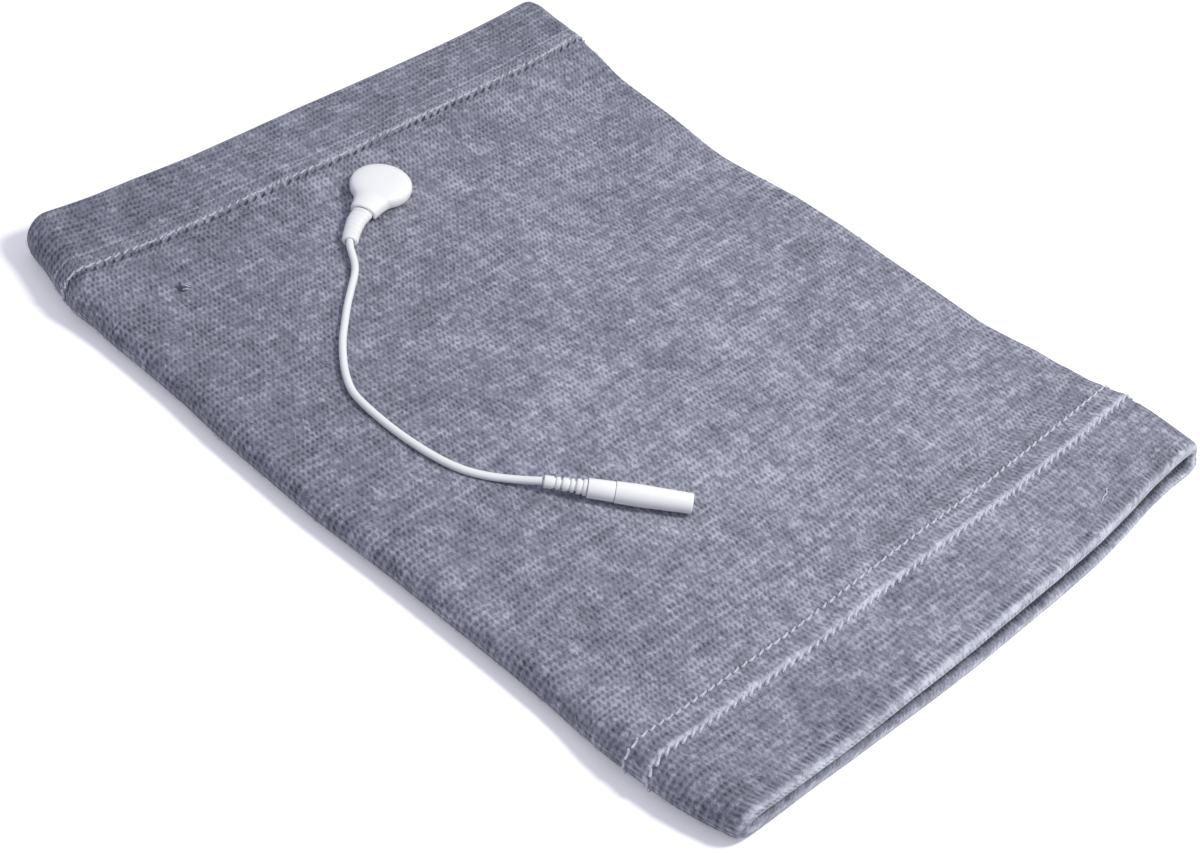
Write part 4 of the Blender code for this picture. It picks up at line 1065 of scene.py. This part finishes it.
class SLEEVE_OT_fibres(bpy.types.Operator):
    """Scatters stray fibres over the knit and pulls the two snags"""

    bl_idname = "sleeve.fibres"
    bl_label = "Stray fibres"

    def execute(self, context):
        sizes = context.scene.sleeve_sizes
        material = fibre_material(context.scene.knit_look)
        half = sizes.length / 2
        stations = np.linspace(MIDDLE_X - half + FIBRE_MARGIN, MIDDLE_X + half - FIBRE_MARGIN, 110)
        rings = np.array([sleeve_ring(sizes, x) for x in stations])[:, BELOW_STEPS + 2:]
        rows, columns, _ = rings.shape
        index = np.arange(rows * columns).reshape(rows, columns)
        faces = np.stack([index[:-1, :-1], index[:-1, 1:], index[1:, 1:], index[1:, :-1]], axis=-1)
        mesh = mesh_from("stray_fibres", rings.reshape(-1, 3), faces.reshape(-1, 4).tolist())
        fibres = scattered_fibres(material).lay(new_object("stray_fibres", mesh, material), FIBRES)
        snags = pulled_threads(sizes, thread_material(context.scene.knit_look))
        for piece in (fibres, snags):
            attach(piece, ROOT)
        return {"FINISHED"}


def dome_profile(radius, shoulder, crown, steps=20):
    """The head's rounded top, from its crown out and down to its widest line."""
    power = 2 / HEAD_ROUNDNESS
    turns = [math.pi / 2 * i / steps for i in range(steps + 1)]
    return [(radius * math.sin(turn)**power, shoulder + (crown - shoulder) * max(0.0, math.cos(turn))**power)
            for turn in turns]


def arch(distance, half_width, top, bottom, lean):
    """A section of the neck: an arched tunnel, leaning forward at its foot."""
    spring = bottom + 0.42 * (top - bottom)
    outline = [(-half_width, bottom)]
    for i in range(25):
        turn = math.pi * (1 - i / 24)
        outline.append((half_width * math.cos(turn), spring + (top - spring) * math.sin(turn)))
    outline.append((half_width, bottom))
    return [Vector((distance + lean * (top - height), across, height)) for across, height in outline]


def placed(points, matrix):
    """These points, moved by the matrix."""
    return [matrix @ point for point in points]


def build_head(plastic):
    """The head's shell as one soft moulding, hollowed for the snap and the boot."""
    seat = Matrix.Translation(HEAD_AT) @ Matrix.Rotation(NECK_ANGLE, 4, "Z")
    lower = HEAD_WIDEST - HEAD_UNDERSIDE
    undercut = [(HEAD_RADIUS - HEAD_UNDERCUT * (1 - math.cos(turn)), HEAD_WIDEST - lower * math.sin(turn))
                for turn in (math.pi / 2 * i / 8 for i in range(1, 9))]
    dome = dome_profile(HEAD_RADIUS, HEAD_WIDEST, HEAD_CROWN)
    button = turned("button", [*dome, *undercut, (0, HEAD_UNDERSIDE)], 96, seat)
    crest = HEAD_CROWN - HEAD_WALL / 2
    sections = [arch(distance, half, crest - (crest - NECK_TOP) * distance / NECK_LENGTH, HEAD_UNDERSIDE, 0.0)
                for distance, half in NECK_FLARE]
    sections.append(arch(NECK_LENGTH, NECK_MOUTH_HALF, NECK_TOP, HEAD_UNDERSIDE, -0.15))
    neck = loft("neck", [placed(section, seat) for section in sections])
    bm = bmesh.new()
    bm.from_mesh(button)
    bm.from_mesh(neck)
    joined = bpy.data.meshes.new("head_shell")
    bm.to_mesh(joined)
    bm.free()
    head = new_object("head_shell", joined, plastic)
    remesh = head.modifiers.new("one skin", "REMESH")
    remesh.mode = "VOXEL"
    remesh.voxel_size = 0.00017
    remesh.use_smooth_shade = True
    soften = head.modifiers.new("soften", "SMOOTH")
    soften.factor = 0.5
    soften.iterations = 45
    settled(head)

    inner = HEAD_RADIUS - HEAD_UNDERCUT - 0.0009
    dome = dome_profile(inner, HEAD_WIDEST, HEAD_CROWN - HEAD_WALL, 12)
    hollow = turned("hollow", [*dome, (inner, -HEAD_WALL), (0, -HEAD_WALL)], 64, seat)
    tunnel = loft("tunnel", [placed(arch(distance, TUNNEL_HALF, TUNNEL_TOP, -HEAD_WALL, 0.0), seat)
                             for distance in (NECK_FLARE[0][0], NECK_LENGTH + HEAD_RADIUS)])
    cutters = [new_object("hollow", hollow), new_object("tunnel", tunnel)]
    for cutter in cutters:
        cut = head.modifiers.new("cut", "BOOLEAN")
        cut.operation = "DIFFERENCE"
        cut.solver = "EXACT"
        cut.object = cutter
    settled(head)
    for cutter in cutters:
        bpy.data.objects.remove(cutter)
    head.data.materials.clear()
    head.data.materials.append(plastic)
    head.data.shade_smooth()
    head.data.set_sharp_from_angle(angle=math.radians(48))
    return head, seat


def oval_sections(path, half_widths, half_heights, steps=28):
    """Upright oval sections along a path."""
    sections = []
    for i, centre in enumerate(path):
        ahead = path[min(i + 1, len(path) - 1)] - path[max(i - 1, 0)]
        side = Vector((-ahead.y, ahead.x, 0.0)).normalized()
        rise = ahead.cross(side).normalized()
        sections.append([centre + side * half_widths[i] * math.cos(math.tau * j / steps)
                         + rise * half_heights[i] * math.sin(math.tau * j / steps) for j in range(steps)])
    return sections


def build_boot(plastic, seat):
    """The head's bent strain relief, with shallow rings and a rounded end."""
    inside = [seat @ Vector((distance, 0, BOOT_AXIS)) for distance in (BOOT_START, NECK_LENGTH)]
    path = smooth_path([*inside, *from_head(BOOT_ROUTE)], 0.00022)
    length = sum((b - a).length for a, b in zip(path, path[1:]))
    widths, heights = [], []
    for i in range(len(path)):
        share = i / (len(path) - 1)
        distance = share * length
        turn = math.tau * (distance - BOOT_RING_START) / BOOT_RING_PITCH
        ring = BOOT_RING_DEPTH * max(0.0, math.cos(turn))**4 if distance < BOOT_RINGS_END else 0.0
        narrow = float(ease(share))
        tip = max(0.0, (distance - length + BOOT_TIP_LENGTH) / BOOT_TIP_LENGTH)
        for found, (start, end) in ((widths, BOOT_HALF_WIDTHS), (heights, BOOT_HALF_HEIGHTS)):
            found.append((start + (end - start) * narrow - ring) * (1 - BOOT_TIP_SHRINK * tip**2))
    sections = oval_sections(path, widths, heights)
    back = (path[-2] - path[-1]).normalized()
    rim = oval_sections([path[-1] + back * 0.001, path[-1]], [BOOT_RIM_HALF_WIDTH] * 2,
                        [BOOT_RIM_HALF_HEIGHT] * 2)[1]
    sections += [rim, [point + back * BOOT_RIM_DEPTH for point in rim]]
    boot = new_object("head_strain_relief", loft("head_strain_relief", sections), plastic)
    boot.data.set_sharp_from_angle(angle=math.radians(60))
    return boot


class SLEEVE_OT_head(bpy.types.Operator):
    """Makes the lead's snap head and its strain relief"""

    bl_idname = "sleeve.head"
    bl_label = "Snap head"

    def execute(self, context):
        look = context.scene.lead_look
        shell = plastic_material("white_moulded_shell", look.shell, 0.34, 0.25)
        soft = plastic_material("white_soft_plastic", look.soft, 0.42, 0.4)
        head, seat = build_head(shell)
        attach(head, ROOT)
        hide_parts("head_cover")
        boot = build_boot(soft, seat)
        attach(boot, ROOT)
        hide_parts("head_boot")
        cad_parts["head_base"].material_slots[0].material = shell
        return {"FINISHED"}


def socket_profile():
    """The socket's ribbed boot from its front end back to the cable."""
    length = SOCKET_RIBS[-1][0]
    corners = [(0, length + 0.0010), (0.0011, length + 0.0010), (0.0011, length)]
    for index in reversed(range(len(SOCKET_RIBS))):
        front, radius = SOCKET_RIBS[index]
        rear = SOCKET_RIBS[index - 1][0] + GROOVE_WIDTH if index else 0.0
        corners += [(radius, front), (radius, rear)]
        if index:
            floor = radius - SOCKET_GROOVES[index - 1]
            corners += [(floor, rear), (floor, rear - GROOVE_WIDTH)]
    corners.append((0, 0))
    return rounded(corners, 0.00016)


class SLEEVE_OT_socket(bpy.types.Operator):
    """Makes the pin socket: its boot, collar and shell"""

    bl_idname = "sleeve.socket"
    bl_label = "Pin socket"

    def execute(self, context):
        look = context.scene.lead_look
        shell = plastic_material("white_socket_shell", look.shell, 0.30, 0.2)
        soft = plastic_material("white_socket_boot", look.soft, 0.40, 0.3)
        axis = Matrix.Translation(SOCKET_AT) @ Matrix.Rotation(SOCKET_ANGLE, 4, "Z")
        axis = axis @ Matrix.Rotation(math.pi / 2, 4, "Y")
        boot_mesh = turned("socket_ribbed_boot", socket_profile(), 40, axis)
        boot = new_object("socket_ribbed_boot", boot_mesh, soft)
        rear, front = COLLAR_START - SEAT_OVERLAP, COLLAR_END + COLLAR_SPIGOT_LENGTH
        counterbore_end = COLLAR_START + COLLAR_COUNTERBORE_DEPTH
        collar_profile = rounded([
            (COLLAR_BORE, front), (COLLAR_SPIGOT_RADIUS, front), (COLLAR_SPIGOT_RADIUS, COLLAR_END),
            (COLLAR_RADII[1], COLLAR_END), (COLLAR_RADII[0], rear), (COLLAR_COUNTERBORE, rear),
            (COLLAR_COUNTERBORE, counterbore_end), (COLLAR_BORE, counterbore_end),
        ], 0.00018)
        collar_mesh = turned("socket_short_collar", collar_profile, 48, axis)
        collar = new_object("socket_short_collar", collar_mesh, shell)
        rear = SHELL_START - SEAT_OVERLAP
        barrel_profile = rounded([
            (SHELL_PIN_RADIUS, SHELL_END - SHELL_STEP), (SHELL_PIN_RADIUS, SHELL_END),
            (SHELL_RADII[1], SHELL_END),
            *((radius, SHELL_START + distance) for radius, distance in SHELL_PROFILE), (SHELL_RADII[0], rear),
            (SHELL_SEAT_RADIUS, rear), (SHELL_SEAT_RADIUS, SHELL_START + SHELL_STEP),
            (SHELL_HOLLOW_RADIUS, SHELL_START + SHELL_STEP), (SHELL_HOLLOW_RADIUS, SHELL_END - SHELL_STEP),
        ], 0.00045, 5)
        barrel = new_object("socket_barrel", turned("socket_barrel", barrel_profile, 56, axis), shell)
        for piece, node, slot in ((boot, "socket_boot", "white_pvc"),
                                  (collar, "socket_collar", "white_shell_plastic"),
                                  (barrel, "socket_shell", "white_shell_plastic")):
            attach(piece, ROOT)
            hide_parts(node)
        return {"FINISHED"}


class SLEEVE_OT_cable(bpy.types.Operator):
    """Lays the thin cable from the head to the socket"""

    bl_idname = "sleeve.cable"
    bl_label = "Cable"

    def execute(self, context):
        soft = plastic_material("white_cable", context.scene.lead_look.soft, 0.38, 0.3)
        path = smooth_path(from_head(CABLE_ROUTE), 0.0011)
        for i, point in enumerate(path):
            point.z -= CABLE_SINK * float(ease(i / 12) * ease((len(path) - 1 - i) / 12))
        path.insert(0, path[0] + (path[0] - path[1]).normalized() * 0.0007)
        cable = tube("lead_thin_cable", [path], CABLE_DIAMETER / 2, 6, soft, caps=True)
        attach(cable, ROOT)
        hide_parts("lead_cable")
        return {"FINISHED"}


class SLEEVE_OT_metal(bpy.types.Operator):
    """Finishes the press stud, the snap and the contact"""

    bl_idname = "sleeve.metal"
    bl_label = "Metal parts"

    def execute(self, context):
        nickel = metal_material("nickel_plating", (0.70, 0.69, 0.66), 0.28)
        steel = metal_material("drawn_spring_wire", (0.68, 0.68, 0.67), 0.22)
        brass = metal_material("turned_brass", (0.78, 0.58, 0.27), 0.30)
        copper = metal_material("stranded_copper", (0.80, 0.45, 0.30), 0.36)
        finishes = {"garment_stud": nickel, "garment_cap": nickel, "snap_cup": nickel,
                    "head_terminal": nickel, "snap_spring": steel, "socket_contact": brass,
                    "head_wire_end": copper, "socket_wire_end": copper}
        for node, finish in finishes.items():
            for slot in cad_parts[node].material_slots:
                slot.material = finish
        return {"FINISHED"}


def camera_matrix():
    """The camera's place and turn in the sleeve's frame."""
    turn, tilt = CAMERA_AZIMUTH, CAMERA_ELEVATION
    back = Vector((math.sin(turn) * math.cos(tilt), -math.cos(turn) * math.cos(tilt), math.sin(tilt)))
    level = Vector((math.cos(turn), math.sin(turn), 0.0))
    rise = back.cross(level)
    right = level * math.cos(CAMERA_ROLL) + rise * math.sin(CAMERA_ROLL)
    up = rise * math.cos(CAMERA_ROLL) - level * math.sin(CAMERA_ROLL)
    turned_to = Matrix((right, up, back)).transposed().to_4x4()
    return Matrix.Translation(CAMERA_AT) @ turned_to


class SLEEVE_OT_stage(bpy.types.Operator):
    """Sets the ground, the light and the camera"""

    bl_idname = "sleeve.stage"
    bl_label = "Stage"

    def execute(self, context):
        scene = context.scene
        look = scene.stage_look
        corners = [(x * GROUND_HALF, y * GROUND_HALF, GROUND_Z)
                   for x, y in ((-1, -1), (1, -1), (1, 1), (-1, 1))]
        ground = mesh_from("ground", corners, [(0, 1, 2, 3)])
        material = bpy.data.materials.new("white_ground")
        material.use_nodes = True
        tree = material.node_tree
        tree.nodes.clear()
        start = Shade(tree)
        paths = start.node("ShaderNodeLightPath", output="Is Camera Ray")
        matte = start.node("ShaderNodeBsdfDiffuse", None, {"Color": GROUND_COLOUR})
        glow = start.node("ShaderNodeEmission", None, {"Color": GROUND_GLOW_COLOUR, "Strength": GROUND_GLOW})
        both = start.node("ShaderNodeAddShader", None, {0: matte, 1: glow})
        seen = start.node("ShaderNodeMixShader", None, {0: paths, 1: matte, 2: both})
        start.node("ShaderNodeOutputMaterial", None, {0: seen})
        floor = new_object("ground", ground, material)

        world = bpy.data.worlds.new("studio")
        world.use_nodes = True
        scene.world = world
        tree = world.node_tree
        tree.nodes.clear()
        start = Shade(tree)
        camera_ray = start.node("ShaderNodeLightPath", output="Is Camera Ray")
        seen = camera_ray.math("MAXIMUM", camera_ray, camera_ray.beside("Is Glossy Ray"))
        seen = seen.math("MAXIMUM", seen, camera_ray.beside("Is Transmission Ray"))
        fill = start.node("ShaderNodeBackground", None, {"Color": FILL_COLOUR, "Strength": look.fill})
        white = start.node("ShaderNodeBackground", None, {"Color": (1.0, 1.0, 1.0, 1.0), "Strength": 1.0})
        mixed = start.node("ShaderNodeMixShader", None, {0: seen, 1: fill, 2: white})
        start.node("ShaderNodeOutputWorld", None, {0: mixed})

        lamp = bpy.data.lights.new("key", "AREA")
        lamp.shape = "DISK"
        lamp.size = KEY_SIZE
        lamp.energy = look.key_power
        lamp.color = KEY_COLOUR
        key = bpy.data.objects.new("key", lamp)
        scene.collection.objects.link(key)
        aim = KEY_DIRECTION.to_track_quat("Z", "Y").to_matrix().to_4x4()
        key.matrix_world = Matrix.Translation(KEY_DIRECTION * KEY_DISTANCE) @ aim

        camera_data = bpy.data.cameras.new("camera")
        camera_data.lens = CAMERA_LENS
        camera_data.sensor_width = 36.0
        camera_data.clip_start = 0.01
        camera = bpy.data.objects.new("camera", camera_data)
        scene.collection.objects.link(camera)
        camera.matrix_world = camera_matrix()
        scene.camera = camera
        scene.view_settings.view_transform = "Standard"
        return {"FINISHED"}


class SLEEVE_PT_panel(bpy.types.Panel):
    """Lists the sleeve's steps and settings"""

    bl_idname = "SLEEVE_PT_panel"
    bl_label = "Knit sleeve electrode"
    bl_space_type = "VIEW_3D"
    bl_region_type = "UI"
    bl_category = "Sleeve"

    def draw(self, context):
        layout = self.layout
        for step in STEPS:
            layout.operator(step)
        for group in SETTINGS:
            settings = getattr(context.scene, group)
            box = layout.box()
            for name in settings.bl_rna.properties.keys():
                if name not in ("rna_type", "name"):
                    box.prop(settings, name)


STEPS = ("sleeve.stage", "sleeve.seams", "sleeve.fibres", "sleeve.knit", "sleeve.head", "sleeve.socket",
         "sleeve.cable", "sleeve.metal")
SETTINGS = {"sleeve_sizes": SleeveSizes, "knit_look": KnitLook, "seam_sizes": SeamSizes,
            "lead_look": LeadLook, "stage_look": StageLook}
CLASSES = (*SETTINGS.values(), SLEEVE_OT_knit, SLEEVE_OT_seams, SLEEVE_OT_fibres, SLEEVE_OT_head,
           SLEEVE_OT_socket, SLEEVE_OT_cable, SLEEVE_OT_metal, SLEEVE_OT_stage, SLEEVE_PT_panel)


def register():
    for cls in CLASSES:
        bpy.utils.register_class(cls)
    for name, group in SETTINGS.items():
        setattr(bpy.types.Scene, name, PointerProperty(type=group))


def unregister():
    for name in SETTINGS:
        delattr(bpy.types.Scene, name)
    for cls in reversed(CLASSES):
        bpy.utils.unregister_class(cls)


def main():
    register()
    for step in STEPS:
        family, name = step.split(".")
        getattr(getattr(bpy.ops, family), name)()


if __name__ == "__main__":
    main()
